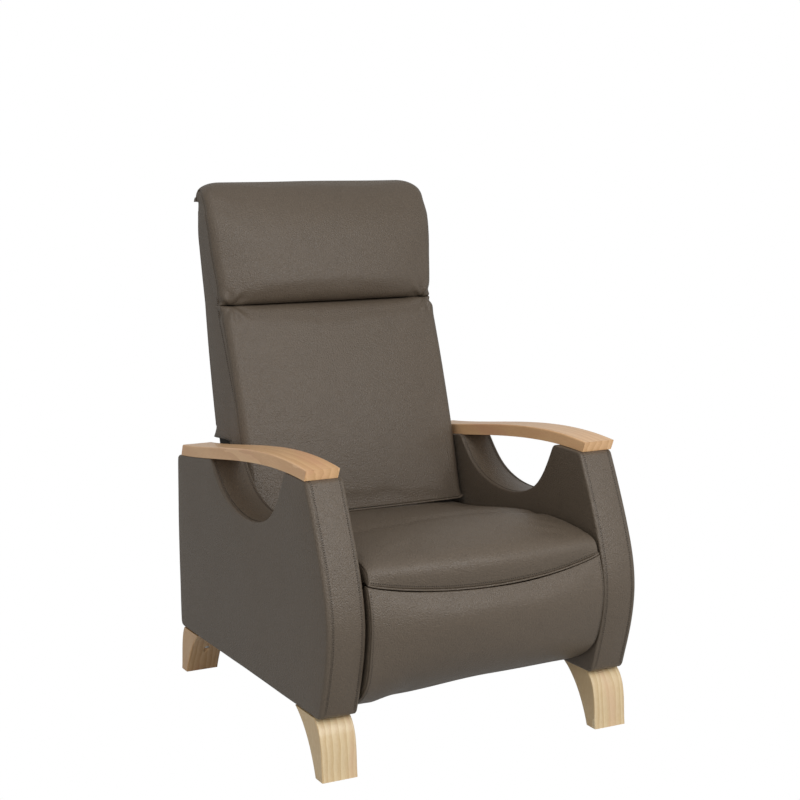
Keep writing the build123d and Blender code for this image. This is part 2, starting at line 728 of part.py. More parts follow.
rail_foot = back_bottom + back_rail_foot_gap
rail_head = back_top - back_rail_head_gap
back_rail_outer = link_high + back_rail_thickness
both_sides("back_side_rail", slab(back_strip(rail_foot, rail_head, web_thickness, back_rail_depth_bottom,
                                             back_rail_depth_top), link_high, back_rail_outer))
pieces["back_bottom_rail"] = slab(back_strip(rail_foot, rail_foot + back_rail_height, web_thickness,
                                             rail_thickness, rail_thickness), -link_low, link_low)
middle_rail_foot = pillow_seam - back_rail_height / 2
pieces["back_middle_rail"] = slab(back_strip(middle_rail_foot, middle_rail_foot + back_rail_height, web_thickness,
                                             back_rail_depth_top, back_rail_depth_top), -link_high, link_high)
pieces["back_top_rail"] = slab(back_strip(rail_head - back_rail_height, rail_head, web_thickness,
                                          back_rail_depth_top, back_rail_depth_top), -link_high, link_high)
strap_start = rail_foot + back_rail_height
strap_pitch = (rail_head - strap_start) / back_web_count
back_straps = []
for index in range(back_web_count):
    foot = strap_start + index * strap_pitch
    strip = back_strip(foot, foot + web_width, 0, web_thickness, web_thickness)
    back_straps.append(slab(strip, -back_rail_outer, back_rail_outer))
pieces["back_webbing"] = apart(back_straps)


def back_section(z, front, half, crown):
    rear = back_line(z)
    half_rear = half - side_draw
    middle = (front + rear) / 2
    return make_face([ThreePointArc((-half, front), (0, front - crown), (half, front)),
                      ThreePointArc((half, front), (half_rear, middle), (half, rear)),
                      Line((half, rear), (-half, rear)),
                      ThreePointArc((-half, rear), (-half_rear, middle), (-half, front))])


def back_pad(rows, z_low, z_high, half, crown):
    faces = []
    for height, lean, crown_part, half_part in rows:
        z = z_low + (z_high - z_low) * height
        front = back_front_bottom + lean * back_front_lean
        faces.append(Plane.XY.offset(z) * back_section(z, front, half * half_part, crown * crown_part))
    return loft(faces)


pieces["back_cushion"] = back_pad(back_cushion_shares, back_bottom, pillow_seam, back_half_bottom, back_crown)
pieces["head_pillow"] = back_pad(pillow_shares, pillow_seam + pillow_clearance, back_top, back_half_top,
                                 pillow_crown)


def back_front_view(inset):
    """Outline of the back seen from the front, drawn in by a wall."""
    low, seam, high = back_half_bottom - inset, back_half_seam - inset, back_half_top - inset
    foot, top = back_bottom - overrun, back_top - inset
    right = [(low, foot), (seam, pillow_seam), (high, top)]
    left = [(-x, z) for x, z in reversed(right)]
    corners = right + left
    face = make_face([Line(a, b) for a, b in zip(corners, corners[1:] + corners[:1])])
    return fillet(face.vertices().sort_by(Axis.Y)[-2:], back_corner_radius - inset)


def back_side_view(inset, front):
    """The part of the back behind the cushions, from the side, with its rear drawn in by a wall."""
    rear_low = (back_rear_bottom - inset, back_bottom)
    rear_middle = (back_rear_middle - inset, (back_bottom + back_rear_top_height) / 2 + rear_arc_rise)
    rear_high = (back_rear_top - inset, back_rear_top_height)
    crest = (back_line_top + cover_crest_depth - inset, back_top - inset)
    lead_top, lead_low = (back_line(back_top) - front, back_top - inset), (back_line_bottom - front, back_bottom)
    return make_face([ThreePointArc(rear_low, rear_middle, rear_high), Line(rear_high, crest),
                      Line(crest, lead_top), Line(lead_top, lead_low), Line(lead_low, rear_low)])


def back_box(inset, front):
    profile = slab(back_side_view(inset, front), -overall_width, overall_width)
    return profile & extrude(Plane.XZ * back_front_view(inset), amount=arm_depth * 2, both=True)


def layer(z_low, z_high):
    return block(-overall_width, overall_width, 0, arm_depth * 2, z_low, z_high)


back_outside = back_box(0, 0)
cover = (back_outside & layer(cover_hem_height, back_top + overrun)) - back_box(cover_wall, overrun)
lining = (back_outside & layer(back_bottom, cover_hem_height)) - back_box(lining_wall, overrun)
hem_root = (back_rear_bottom + hem_root_shift, cover_hem_height + hem_height)
hem_tip = plus(hem_root, (hem_reach, -hem_height))
hem_lip = plus(hem_tip, (0, -hem_thickness))
hem_heel = plus(hem_root, (-hem_thickness, -hem_thickness))
hem_face = make_face([Line(hem_root, hem_tip), Line(hem_tip, hem_lip), Line(hem_lip, hem_heel),
                      Line(hem_heel, hem_root)])
hem = slab(hem_face, -back_half_bottom + cover_wall, back_half_bottom - cover_wall)
pieces["back_cover"] = cover + hem
pieces["back_lining"] = lining

# The origin goes to the middle of the footprint, on the floor
boxes = [piece.bounding_box() for piece in pieces.values()]
shift = -(min(box.min.Y for box in boxes) + max(box.max.Y for box in boxes)) / 2
for name, piece in pieces.items():
    solids = [Pos(0, shift, 0) * solid for solid in piece.solids()]
    export_step(solids[0] if len(solids) == 1 else Compound(solids), "parts/" + name + ".step")
print("moved along Y by", round(shift, 3))
for label, place in (("turn_centre", turn_centre), ("front_link_pivot", front_link_pivot),
                     ("rear_link_pivot", rear_link_pivot), ("knee_pivot", knee_pivot),
                     ("front_link_end", front_link_end), ("footrest_pivot", footrest_pivot),
                     ("back_pivot", back_pivot), ("back_lug", back_lug), ("rod_lug", rod_lug)):
    print(label, round(place[0] + shift, 4), round(place[1], 4))
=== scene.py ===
"""Looks of a push-back recliner: leather, stitching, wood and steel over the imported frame."""

import logging
import math
from dataclasses import dataclass
from enum import Enum
from typing import Callable, Sequence

import bmesh
import bpy
import numpy as np
from mathutils import Matrix, Vector, noise
from mathutils.bvhtree import BVHTree
from mathutils.geometry import delaunay_2d_cdt
from mathutils.kdtree import KDTree

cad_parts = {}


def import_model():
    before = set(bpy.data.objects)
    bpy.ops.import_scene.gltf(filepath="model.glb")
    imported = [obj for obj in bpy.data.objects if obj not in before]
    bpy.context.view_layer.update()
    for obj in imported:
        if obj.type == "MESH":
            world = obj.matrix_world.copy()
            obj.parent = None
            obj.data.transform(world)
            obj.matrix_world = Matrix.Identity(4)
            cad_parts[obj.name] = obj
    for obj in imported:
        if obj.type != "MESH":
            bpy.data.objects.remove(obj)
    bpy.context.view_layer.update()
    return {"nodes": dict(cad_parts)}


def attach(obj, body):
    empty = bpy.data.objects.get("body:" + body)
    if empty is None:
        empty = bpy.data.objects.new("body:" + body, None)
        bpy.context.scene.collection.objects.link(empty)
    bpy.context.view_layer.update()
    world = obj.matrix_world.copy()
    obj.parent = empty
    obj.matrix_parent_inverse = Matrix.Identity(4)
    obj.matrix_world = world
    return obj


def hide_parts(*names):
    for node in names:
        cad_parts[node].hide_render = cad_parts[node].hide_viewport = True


LOG = logging.getLogger("recliner")

# Sizes below are in millimetres, measured along the chair from the front face of its front feet.
# The frame's origin is the middle of the footprint, so places move by this much along the chair.
CHAIR_SHIFT = -406.463
MM = 0.001
# How much of the white ground a glossy surface mirrors. The leather turns hazy above this.
MIRRORED = 0.2
Point = tuple[float, float]


class Side(Enum):
    """The chair's two sides."""

    RIGHT = 1
    LEFT = -1

    @property
    def word(self) -> str:
        """The side's name as the nodes spell it."""
        return self.name.lower()


# Curves and rings in the side view

def smooth_through(points: Sequence[Point], count: int) -> np.ndarray:
    """Follows a natural cubic spline through points.

    Args:
        points: places in the side view, in order.
        count: how many places to return.

    Returns:
        count places, evenly spread by chord length.
    """
    given = np.asarray(points, float)
    knots = np.concatenate([[0], np.cumsum(np.linalg.norm(np.diff(given, axis=0), axis=1))])
    return smooth_values(knots, given, np.linspace(0, knots[-1], count))


def smooth_values(knots: np.ndarray, values: np.ndarray, wanted: np.ndarray) -> np.ndarray:
    """Natural cubic interpolation of one or more columns of values.

    Args:
        knots: rising places of the given values.
        values: a row of values for each knot.
        wanted: places to read.

    Returns:
        A row of values for each wanted place.
    """
    x, y = np.asarray(knots, float), np.asarray(values, float)
    flat = y.ndim == 1
    y = y.reshape(len(x), -1)
    h = np.diff(x)
    n = len(x)
    system, right = np.eye(n), np.zeros_like(y)
    for i in range(1, n - 1):
        system[i, i - 1], system[i, i], system[i, i + 1] = h[i - 1], 2 * (h[i - 1] + h[i]), h[i]
        right[i] = 6 * ((y[i + 1] - y[i]) / h[i] - (y[i] - y[i - 1]) / h[i - 1])
    second = np.linalg.solve(system, right)
    spot = np.clip(np.searchsorted(x, wanted) - 1, 0, n - 2)
    a = ((x[spot + 1] - wanted) / h[spot])[:, None]
    b = 1 - a
    got = a * y[spot] + b * y[spot + 1] + ((a**3 - a) * second[spot] + (b**3 - b) * second[spot + 1]) * (
        h[spot] ** 2)[:, None] / 6
    return got[:, 0] if flat else got


def straight(start: Point, end: Point, count: int) -> np.ndarray:
    """count places on a straight line, both ends among them."""
    return np.linspace(start, end, count)


def arc(centre: Point, radius: float, start: float, end: float, count: int) -> np.ndarray:
    """count places on an arc between two angles in degrees."""
    angles = np.radians(np.linspace(start, end, count))
    return np.stack([centre[0] + radius * np.cos(angles), centre[1] + radius * np.sin(angles)], 1)


def respaced(line: np.ndarray, count: int) -> np.ndarray:
    """count places evenly spread along a line of places."""
    run = np.concatenate([[0], np.cumsum(np.linalg.norm(np.diff(line, axis=0), axis=1))])
    wanted = np.linspace(0, run[-1], count)
    return np.stack([np.interp(wanted, run, line[:, k]) for k in range(line.shape[1])], 1)


def smooth_step(value: float | np.ndarray, low: float, high: float) -> float | np.ndarray:
    """Runs from 0 at low to 1 at high, smoothly."""
    share = np.clip((value - low) / (high - low), 0.0, 1.0)
    return share * share * (3 - 2 * share)


def outward(ring: np.ndarray) -> np.ndarray:
    """Outward unit normals of a closed ring of places in the side view."""
    ahead = np.roll(ring, -1, 0) - ring
    ahead /= np.maximum(np.linalg.norm(ahead, axis=1, keepdims=True), 1e-9)
    along = ahead + np.roll(ahead, 1, 0)
    along /= np.maximum(np.linalg.norm(along, axis=1, keepdims=True), 1e-9)
    turn = np.stack([along[:, 1], -along[:, 0]], 1)
    area = np.sum(ring[:, 0] * np.roll(ring[:, 1], -1) - np.roll(ring[:, 0], -1) * ring[:, 1])
    return turn if area > 0 else -turn


def rounded_corners(parts: Sequence[np.ndarray], radii: Sequence[float]) -> tuple[np.ndarray, np.ndarray]:
    """Joins lines into a ring whose corners are rounded.

    Args:
        parts: lines that follow on each other and close the ring.
        radii: how far from its corner each line's end is trimmed, one for the corner after each line.

    Returns:
        The ring's places, and for each the number of the line that it lies on.
    """
    fine = [respaced(part, max(8, int(path_length(part)))) for part in parts]
    places, owners = [], []
    for index, line in enumerate(fine):
        run = np.concatenate([[0], np.cumsum(np.linalg.norm(np.diff(line, axis=0), axis=1))])
        before, after = radii[index - 1], radii[index]
        keep = (run >= before) & (run <= run[-1] - after)
        places.append(line[keep])
        owners.append(np.full(keep.sum(), index))
        following = fine[(index + 1) % len(fine)]
        onward = np.concatenate([[0], np.cumsum(np.linalg.norm(np.diff(following, axis=0), axis=1))])
        first, corner, last = line[keep][-1], line[-1], following[onward >= after][0]
        t = np.linspace(0, 1, 9)[1:-1, None]
        places.append((1 - t) ** 2 * first + 2 * t * (1 - t) * corner + t**2 * last)
        owners.append(np.full(len(t), index))
    return np.concatenate(places), np.concatenate(owners)


def by_bend(ring: np.ndarray, owners: np.ndarray, pitch: float) -> tuple[np.ndarray, np.ndarray]:
    """Thins a fine closed ring to a pitch, with closer places where it bends.

    Args:
        ring: close places of a closed ring.
        owners: a number carried by each place.
        pitch: spacing on its straight runs.

    Returns:
        The kept places and their numbers.
    """
    step = np.roll(ring, -1, 0) - ring
    length = np.linalg.norm(step, axis=1)
    heading = np.arctan2(step[:, 1], step[:, 0])
    bend = np.abs((np.roll(heading, -1) - heading + math.pi) % (2 * math.pi) - math.pi)
    weight = np.cumsum(length / pitch + bend * 3)
    count = int(weight[-1])
    picks = np.searchsorted(weight, (np.arange(count) + 0.5) * weight[-1] / count)
    picks = np.unique(np.clip(picks, 0, len(ring) - 1))
    return ring[picks], owners[picks]


# Meshes

def to_metres(points: np.ndarray) -> np.ndarray:
    """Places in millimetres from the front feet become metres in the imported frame."""
    moved = np.array(points, float)
    moved[:, 1] += CHAIR_SHIFT
    return moved * MM


def from_metres(points: np.ndarray) -> np.ndarray:
    """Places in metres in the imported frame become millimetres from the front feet."""
    moved = np.array(points, float) / MM
    moved[:, 1] -= CHAIR_SHIFT
    return moved


def path_length(path: np.ndarray) -> float:
    """Length of a line of places."""
    return float(np.sum(np.linalg.norm(np.diff(path, axis=0), axis=1)))


def near_tree(points: np.ndarray) -> KDTree:
    """A search tree over places in millimetres, for places in metres."""
    tree = KDTree(len(points))
    for index, place in enumerate(to_metres(points)):
        tree.insert(place, index)
    tree.balance()
    return tree


def placed(name: str, data: bpy.types.ID) -> bpy.types.Object:
    """Makes an object of a mesh, a lamp or a camera and links it to the scene."""
    made = bpy.data.objects.new(name, data)
    bpy.context.scene.collection.objects.link(made)
    return made


def evaluated_mesh(piece: bpy.types.Object) -> bpy.types.Mesh:
    """A plain mesh of an object with its modifiers applied."""
    graph = bpy.context.evaluated_depsgraph_get()
    return bpy.data.meshes.new_from_object(piece.evaluated_get(graph), depsgraph=graph)


def make_object(name: str, points: np.ndarray, faces: Sequence[Sequence[int]]) -> bpy.types.Object:
    """Makes a smooth-shaded object whose faces point outwards.

    Args:
        name: the piece's name.
        points: its places in millimetres.
        faces: corners of its faces.

    Returns:
        The object, linked to the scene.
    """
    mesh = bpy.data.meshes.new(name)
    mesh.from_pydata(to_metres(points).tolist(), [], [list(face) for face in faces])
    work = bmesh.new()
    work.from_mesh(mesh)
    bmesh.ops.remove_doubles(work, verts=work.verts, dist=1e-6)
    bmesh.ops.dissolve_degenerate(work, dist=1e-7, edges=work.edges)
    bmesh.ops.recalc_face_normals(work, faces=work.faces)
    work.to_mesh(mesh)
    work.free()
    mesh.polygons.foreach_set("use_smooth", [True] * len(mesh.polygons))
    return placed(name, mesh)


def band_faces(rows: int, columns: int) -> list[tuple[int, ...]]:
    """Faces between rings that follow on each other, each ring closed.

    Args:
        rows: number of rings.
        columns: places in each ring.

    Returns:
        Four corners for each face.
    """
    faces: list[tuple[int, ...]] = []
    for r in range(rows - 1):
        for c in range(columns):
            d = (c + 1) % columns
            a, b = r * columns, (r + 1) * columns
            faces.append((a + c, a + d, b + d, b + c))
    return faces


def panel_faces(triangles: Sequence[tuple[int, ...]], first: int, count: int, base: int) -> list[tuple[int, ...]]:
    """Renumbers the triangles of a filled ring for the whole mesh.

    Args:
        triangles: corners that count the ring's places first, then the inner ones.
        first: number of the ring's first place in the mesh.
        count: places in the ring.
        base: number of the first inner place in the mesh.

    Returns:
        The triangles' corners in the mesh.
    """
    return [tuple(first + i if i < count else base + i - count for i in triangle) for triangle in triangles]


def fill_ring(ring: np.ndarray, pitch: float) -> tuple[np.ndarray, list[tuple[int, int, int]], np.ndarray]:
    """Fills a ring with even triangles.

    Args:
        ring: a closed ring of places in the side view.
        pitch: spacing of the places inside it.

    Returns:
        Inner places, triangles that count the ring's places first, and each inner place's distance to the ring.
    """
    low, high = ring.min(0), ring.max(0)
    inner = []
    for row, z in enumerate(np.arange(low[1] + pitch / 2, high[1], pitch * 0.87)):
        for y in np.arange(low[0] + (row % 2) * pitch / 2, high[0], pitch):
            inner.append((y, z))
    inner = np.array(inner).reshape(-1, 2)
    ahead = np.roll(ring, -1, 0)
    crossing = ((ring[None, :, 1] > inner[:, 1:2]) != (ahead[None, :, 1] > inner[:, 1:2]))
    slope = (ahead[None, :, 0] - ring[None, :, 0]) * (inner[:, 1:2] - ring[None, :, 1])
    run = ahead[None, :, 1] - ring[None, :, 1]
    cut = ring[None, :, 0] + slope / np.where(run == 0, 1e-9, run)
    inside = (np.sum(crossing & (inner[:, 0:1] < cut), axis=1) % 2) == 1
    inner = inner[inside]
    gap = ring_distance(inner, ring)
    inner, gap = inner[gap > pitch * 0.55], gap[gap > pitch * 0.55]
    count = len(ring)
    every = [Vector(p) for p in np.concatenate([ring, inner])]
    edges = [(i, (i + 1) % count) for i in range(count)]
    places, _, triangles, origins, _, _ = delaunay_2d_cdt(every, edges, [], 1, 1e-6)
    back = [origin[0] if origin else -1 for origin in origins]
    kept = [tuple(back[i] for i in triangle) for triangle in triangles]
    return inner, [t for t in kept if min(t) >= 0], gap


def ring_distance(points: np.ndarray, ring: np.ndarray) -> np.ndarray:
    """Distance of each place to the nearest stretch of a closed ring."""
    ahead = np.roll(ring, -1, 0) - ring
    best = np.full(len(points), 1e9)
    for start, step in zip(ring, ahead):
        square = float(step @ step)
        if square < 1e-12:
            continue
        t = np.clip((points - start) @ step / square, 0, 1)
        best = np.minimum(best, np.linalg.norm(points - start - t[:, None] * step, axis=1))
    return best


def undulate(piece: bpy.types.Object, height: float, size: float, seed: float) -> None:
    """Gives leather the slight waves of hide over foam, along its normals.

    Args:
        piece: the object to change.
        height: greatest rise in millimetres.
        size: width of a wave in millimetres.
        seed: shifts the pattern.
    """
    mesh = piece.data
    normals = [vertex.normal.copy() for vertex in mesh.vertices]
    for vertex, normal in zip(mesh.vertices, normals):
        spot = vertex.co / (size * MM) + Vector((seed, seed * 0.7, seed * 1.3))
        vertex.co += normal * (noise.noise(spot) * height * MM)
    mesh.update()


# Materials

class Socket:
    """A value in a node tree that takes part in plain arithmetic."""

    def __init__(self, kit: "Tree", link: bpy.types.NodeSocket) -> None:
        """Holds one output of a node."""
        self.kit = kit
        self.link = link

    def _math(self, operation: str, *values: object) -> "Socket":
        """Adds a Math node for an operation on values."""
        return self.kit.node("ShaderNodeMath", {"operation": operation}, dict(enumerate(values)))

    def __add__(self, other: object) -> "Socket":
        """Sum."""
        return self._math("ADD", self, other)

    def __mul__(self, other: object) -> "Socket":
        """Product."""
        return self._math("MULTIPLY", self, other)

    def __sub__(self, other: object) -> "Socket":
        """Difference."""
        return self._math("SUBTRACT", self, other)

    def clamped(self) -> "Socket":
        """The value kept between 0 and 1."""
        return self.kit.node("ShaderNodeClamp", {}, {"Value": self})

    def between(self, low: float, high: float) -> "Socket":
        """Runs from 0 at low to 1 at high, smoothly."""
        return self.kit.node("ShaderNodeMapRange", {"interpolation_type": "SMOOTHSTEP"},
                             {"Value": self, "From Min": low, "From Max": high})

    def other(self, name: str) -> "Socket":
        """Another output of the same node."""
        return Socket(self.kit, self.link.node.outputs[name])


Colour = tuple[float, float, float]


class Tree:
    """A node tree under construction."""

    def __init__(self, tree: bpy.types.NodeTree) -> None:
        """Takes over an empty tree."""
        self.tree = tree
        self.tree.nodes.clear()

    def node(self, kind: str, settings: dict, inputs: dict, output: int | str | None = 0) -> Socket:
        """Adds a node.

        Args:
            kind: the node's type.
            settings: its properties.
            inputs: values or sockets by input name or number.
            output: the output to return, or None for a node that has none.

        Returns:
            The chosen output.
        """
        made = self.tree.nodes.new(kind)
        for key, value in settings.items():
            setattr(made, key, value)
        for key, value in inputs.items():
            target = made.inputs[key]
            if isinstance(value, Socket):
                self.tree.links.new(value.link, target)
            elif value is not None:
                target.default_value = (*value, 1) if target.type == "RGBA" and len(value) == 3 else value
        return Socket(self, made.outputs[output]) if output is not None else Socket(self, None)

    def seen(self) -> Socket:
        """1 for what a camera, a mirror or a glass sees, and 0 for the light that falls on things."""
        camera = self.node("ShaderNodeLightPath", {}, {}, "Is Camera Ray")
        return (camera + camera.other("Is Glossy Ray") * MIRRORED + camera.other("Is Transmission Ray")).clamped()


class Finishing(Tree):
    """One material under construction."""

    def __init__(self, name: str) -> None:
        """Starts a material.

        Args:
            name: the finish's name.
        """
        self.material = bpy.data.materials.new(name)
        self.material.use_nodes = True
        super().__init__(self.material.node_tree)

    def place(self) -> Socket:
        """Object coordinates."""
        return self.node("ShaderNodeTexCoord", {}, {}, "Object")

    def stretched(self, scale: Sequence[float]) -> Socket:
        """Object coordinates, scaled along each direction."""
        return self.node("ShaderNodeMapping", {}, {"Vector": self.place(), "Scale": scale})

    def speckle(self, scale: float, detail: float = 3.0, place: Socket | None = None, rough: float = 0.5) -> Socket:
        """Noise from 0 to 1 over the object."""
        return self.node("ShaderNodeTexNoise", {}, {"Vector": place or self.place(), "Scale": scale, "Detail": detail,
                                                    "Roughness": rough})

    def bands(self, place: Socket, direction: str, profile: str, values: dict) -> Socket:
        """Waves from 0 to 1 along a direction.

        Args:
            place: coordinates to read.
            direction: X, Y or Z.
            profile: the wave's shape.
            values: scale, distortion and the like.

        Returns:
            The waves.
        """
        settings = {"wave_type": "BANDS", "bands_direction": direction, "wave_profile": profile}
        return self.node("ShaderNodeTexWave", settings, {"Vector": place, **values}, "Fac")

    def attribute(self, name: str) -> Socket:
        """A value painted on the mesh."""
        return self.node("ShaderNodeAttribute", {"attribute_name": name}, {}, "Fac")

    def mixed(self, share: Socket | float, low: object, high: object) -> Socket:
        """Blends two colours.

        Args:
            share: how much of the second colour.
            low: the first colour.
            high: the second colour.

        Returns:
            The mixed colour.
        """
        return self.node("ShaderNodeMix", {"data_type": "RGBA"}, {0: share, 6: low, 7: high}, 2)

    def bump(self, height: Socket, distance: float, strength: float = 1.0, under: Socket | None = None) -> Socket:
        """A bump of a height in metres."""
        return self.node("ShaderNodeBump", {}, {"Height": height, "Distance": distance, "Strength": strength,
                                                "Normal": under})

    def finish(self, **sockets: object) -> bpy.types.Material:
        """Ends the material in a Principled shader with these sockets, their spaces written as underscores."""
        named = {key.replace("_", " "): value for key, value in sockets.items()}
        surface = self.node("ShaderNodeBsdfPrincipled", {}, named)
        self.node("ShaderNodeOutputMaterial", {}, {"Surface": surface}, None)
        return self.material


def shade(colour: Colour, factor: float) -> Colour:
    """A lighter or darker tone of a colour."""
    return tuple(min(1.0, part * factor) for part in colour)


@dataclass(frozen=True)
class Leather:
    """Semi-matte corrected leather with a fine pebble grain, worn a little lighter in broad patches, with painted shade
    along its seam grooves.
    """

    name: str = "taupe_leather"
    colour: Colour = (0.119, 0.092, 0.067)
    pebble: float = 0.0030
    depth: float = 0.0010
    roughness: float = 0.40

    def material(self) -> bpy.types.Material:
        """Builds the leather's material."""
        kit = Finishing(self.name)
        cells = kit.node("ShaderNodeTexVoronoi", {"feature": "SMOOTH_F1"},
                         {"Vector": kit.place(), "Scale": 1 / self.pebble, "Smoothness": 0.5, "Randomness": 1.0})
        pits = kit.speckle(1 / self.pebble * 1.4, 3.0)
        mottle = kit.speckle(300.0, 2.0, None, 0.6)
        broad, patches = kit.speckle(3.0, 3.0), kit.speckle(24.0, 3.0)
        crease = kit.attribute("crease")
        tone = (broad - 0.5) * 0.22 + (patches - 0.5) * 0.16 + (mottle - 0.5) * 1.0 + (pits - 0.5) * 0.4 - cells * 0.25
        base = kit.mixed((tone + 0.58).clamped(), shade(self.colour, 0.70), shade(self.colour, 1.30))
        # Painted shade: the leather turns darker along its seam grooves, where the shade is painted on the mesh.
        base = kit.mixed((crease * 0.35).clamped(), base, shade(self.colour, 0.26))
        under = kit.bump(broad + patches * 0.3, 0.0015, 0.5)
        normal = kit.bump(pits * 0.55 + mottle * 0.9 - cells * 0.8, self.depth, 1.0, under)
        rough = (broad - 0.5) * 0.12 + (mottle - 0.5) * 0.25 + self.roughness
        return kit.finish(Base_Color=base, Roughness=rough.clamped(), Normal=normal, IOR=1.48)


@dataclass(frozen=True)
class BentWood:
    """Lacquered pale wood with its grain along one direction."""

    name: str
    light: Colour
    dark: Colour
    streak: Colour
    scale: tuple[float, float, float]
    streaks: float = 0.55
    roughness: float = 0.34

    def material(self) -> bpy.types.Material:
        """Builds the wood's material."""
        kit = Finishing(self.name)
        along, finer = kit.stretched(self.scale), kit.stretched(tuple(s * 3.2 for s in self.scale))
        warp = kit.speckle(1.4, 3.0, along)
        rings = kit.bands(along, "X", "SAW", {"Scale": 1.3, "Distortion": 6.0, "Detail": 3.0, "Detail Scale": 1.3,
                                              "Phase Offset": 2.0})
        fibre, pores = kit.speckle(9.0, 4.0, finer, 0.65), kit.speckle(24.0, 2.0, finer)
        base = kit.mixed((rings * 0.45 + fibre * 0.55).between(0.22, 0.8), self.light, self.dark)
        base = kit.mixed((warp.between(0.5, 0.7) * self.streaks).clamped(), base, self.streak)
        base = kit.mixed((pores.between(0.6, 0.74) * 0.35).clamped(), base, shade(self.dark, 0.66))
        normal = kit.bump(fibre * 0.6 + rings * 0.3 - pores * 0.2, 0.0002, 0.6)
        rough = (fibre - 0.5) * 0.14 + self.roughness
        return kit.finish(Base_Color=base, Roughness=rough, Normal=normal, Coat_Weight=0.25, Coat_Roughness=0.22)


@dataclass(frozen=True)
class Plain:
    """A simple finish with a little life in its colour and roughness."""

    name: str
    colour: Colour
    roughness: float = 0.6
    metallic: float = 0.0
    grain: float = 400.0
    depth: float = 0.0001

    def material(self) -> bpy.types.Material:
        """Builds the plain finish's material."""
        kit = Finishing(self.name)
        fine, broad = kit.speckle(self.grain, 3.0), kit.speckle(14.0, 2.0)
        base = kit.mixed((fine * 0.6 + broad * 0.4).clamped(), shade(self.colour, 0.8), shade(self.colour, 1.15))
        rough = (fine - 0.5) * 0.2 + self.roughness
        return kit.finish(Base_Color=base, Roughness=rough, Normal=kit.bump(fine, self.depth, 0.5),
                          Metallic=self.metallic)


@dataclass(frozen=True)
class Woven:
    """Elastic webbing, woven across and along."""

    name: str = "elastic_webbing"
    colour: Colour = (0.05, 0.047, 0.043)
    pitch: float = 0.0016

    def material(self) -> bpy.types.Material:
        """Builds the webbing's material."""
        kit = Finishing(self.name)
        threads = [kit.bands(kit.place(), direction, "SIN", {"Scale": 1 / self.pitch / 6.3}) for direction in "XY"]
        weave = threads[0] * 0.5 + threads[1] * 0.5
        base = kit.mixed(weave, shade(self.colour, 0.6), shade(self.colour, 1.5))
        return kit.finish(Base_Color=base, Roughness=0.8, Normal=kit.bump(weave, 0.0004, 0.8))


class Finishes:
    """Every finish of the chair, built once."""

    def __init__(self) -> None:
        """Builds the materials."""
        self.leather = Leather().material()
        self.armrest = BentWood("beech_armrest", (0.92, 0.59, 0.32), (0.77, 0.45, 0.22), (0.80, 0.42, 0.25),
                                (14.0, 2.2, 14.0)).material()
        self.leg = BentWood("ash_leg", (0.82, 0.66, 0.42), (0.69, 0.50, 0.27), (0.76, 0.51, 0.33),
                            (18.0, 7.0, 3.0)).material()
        # Painted shade: the rear legs take a darker, redder copy of the front legs' ash, for the shade that falls on
        # them behind the chair.
        self.rear_leg = BentWood("ash_rear_leg", (0.78, 0.53, 0.29), (0.64, 0.38, 0.18), (0.72, 0.42, 0.24),
                                 (18.0, 7.0, 3.0)).material()
        self.hidden_wood = BentWood("frame_pine", (0.62, 0.44, 0.26), (0.50, 0.33, 0.17), (0.48, 0.28, 0.15),
                                    (10.0, 2.0, 10.0), roughness=0.6).material()
        self.steel = Plain("zinc_steel", (0.46, 0.46, 0.45), 0.38, 0.9, 180.0, 0.00004).material()
        self.webbing = Woven().material()
        self.lining = Plain("black_dust_cloth", (0.012, 0.012, 0.012), 0.85, 0.0, 900.0, 0.0002).material()
        self.thread = Plain("brown_thread", (0.014, 0.009, 0.006), 0.7, 0.0, 3000.0, 0.0001).material()


def dress(piece: bpy.types.Object, material: bpy.types.Material) -> None:
    """Gives a whole piece one material."""
    piece.data.materials.clear()
    piece.data.materials.append(material)


# Stitches

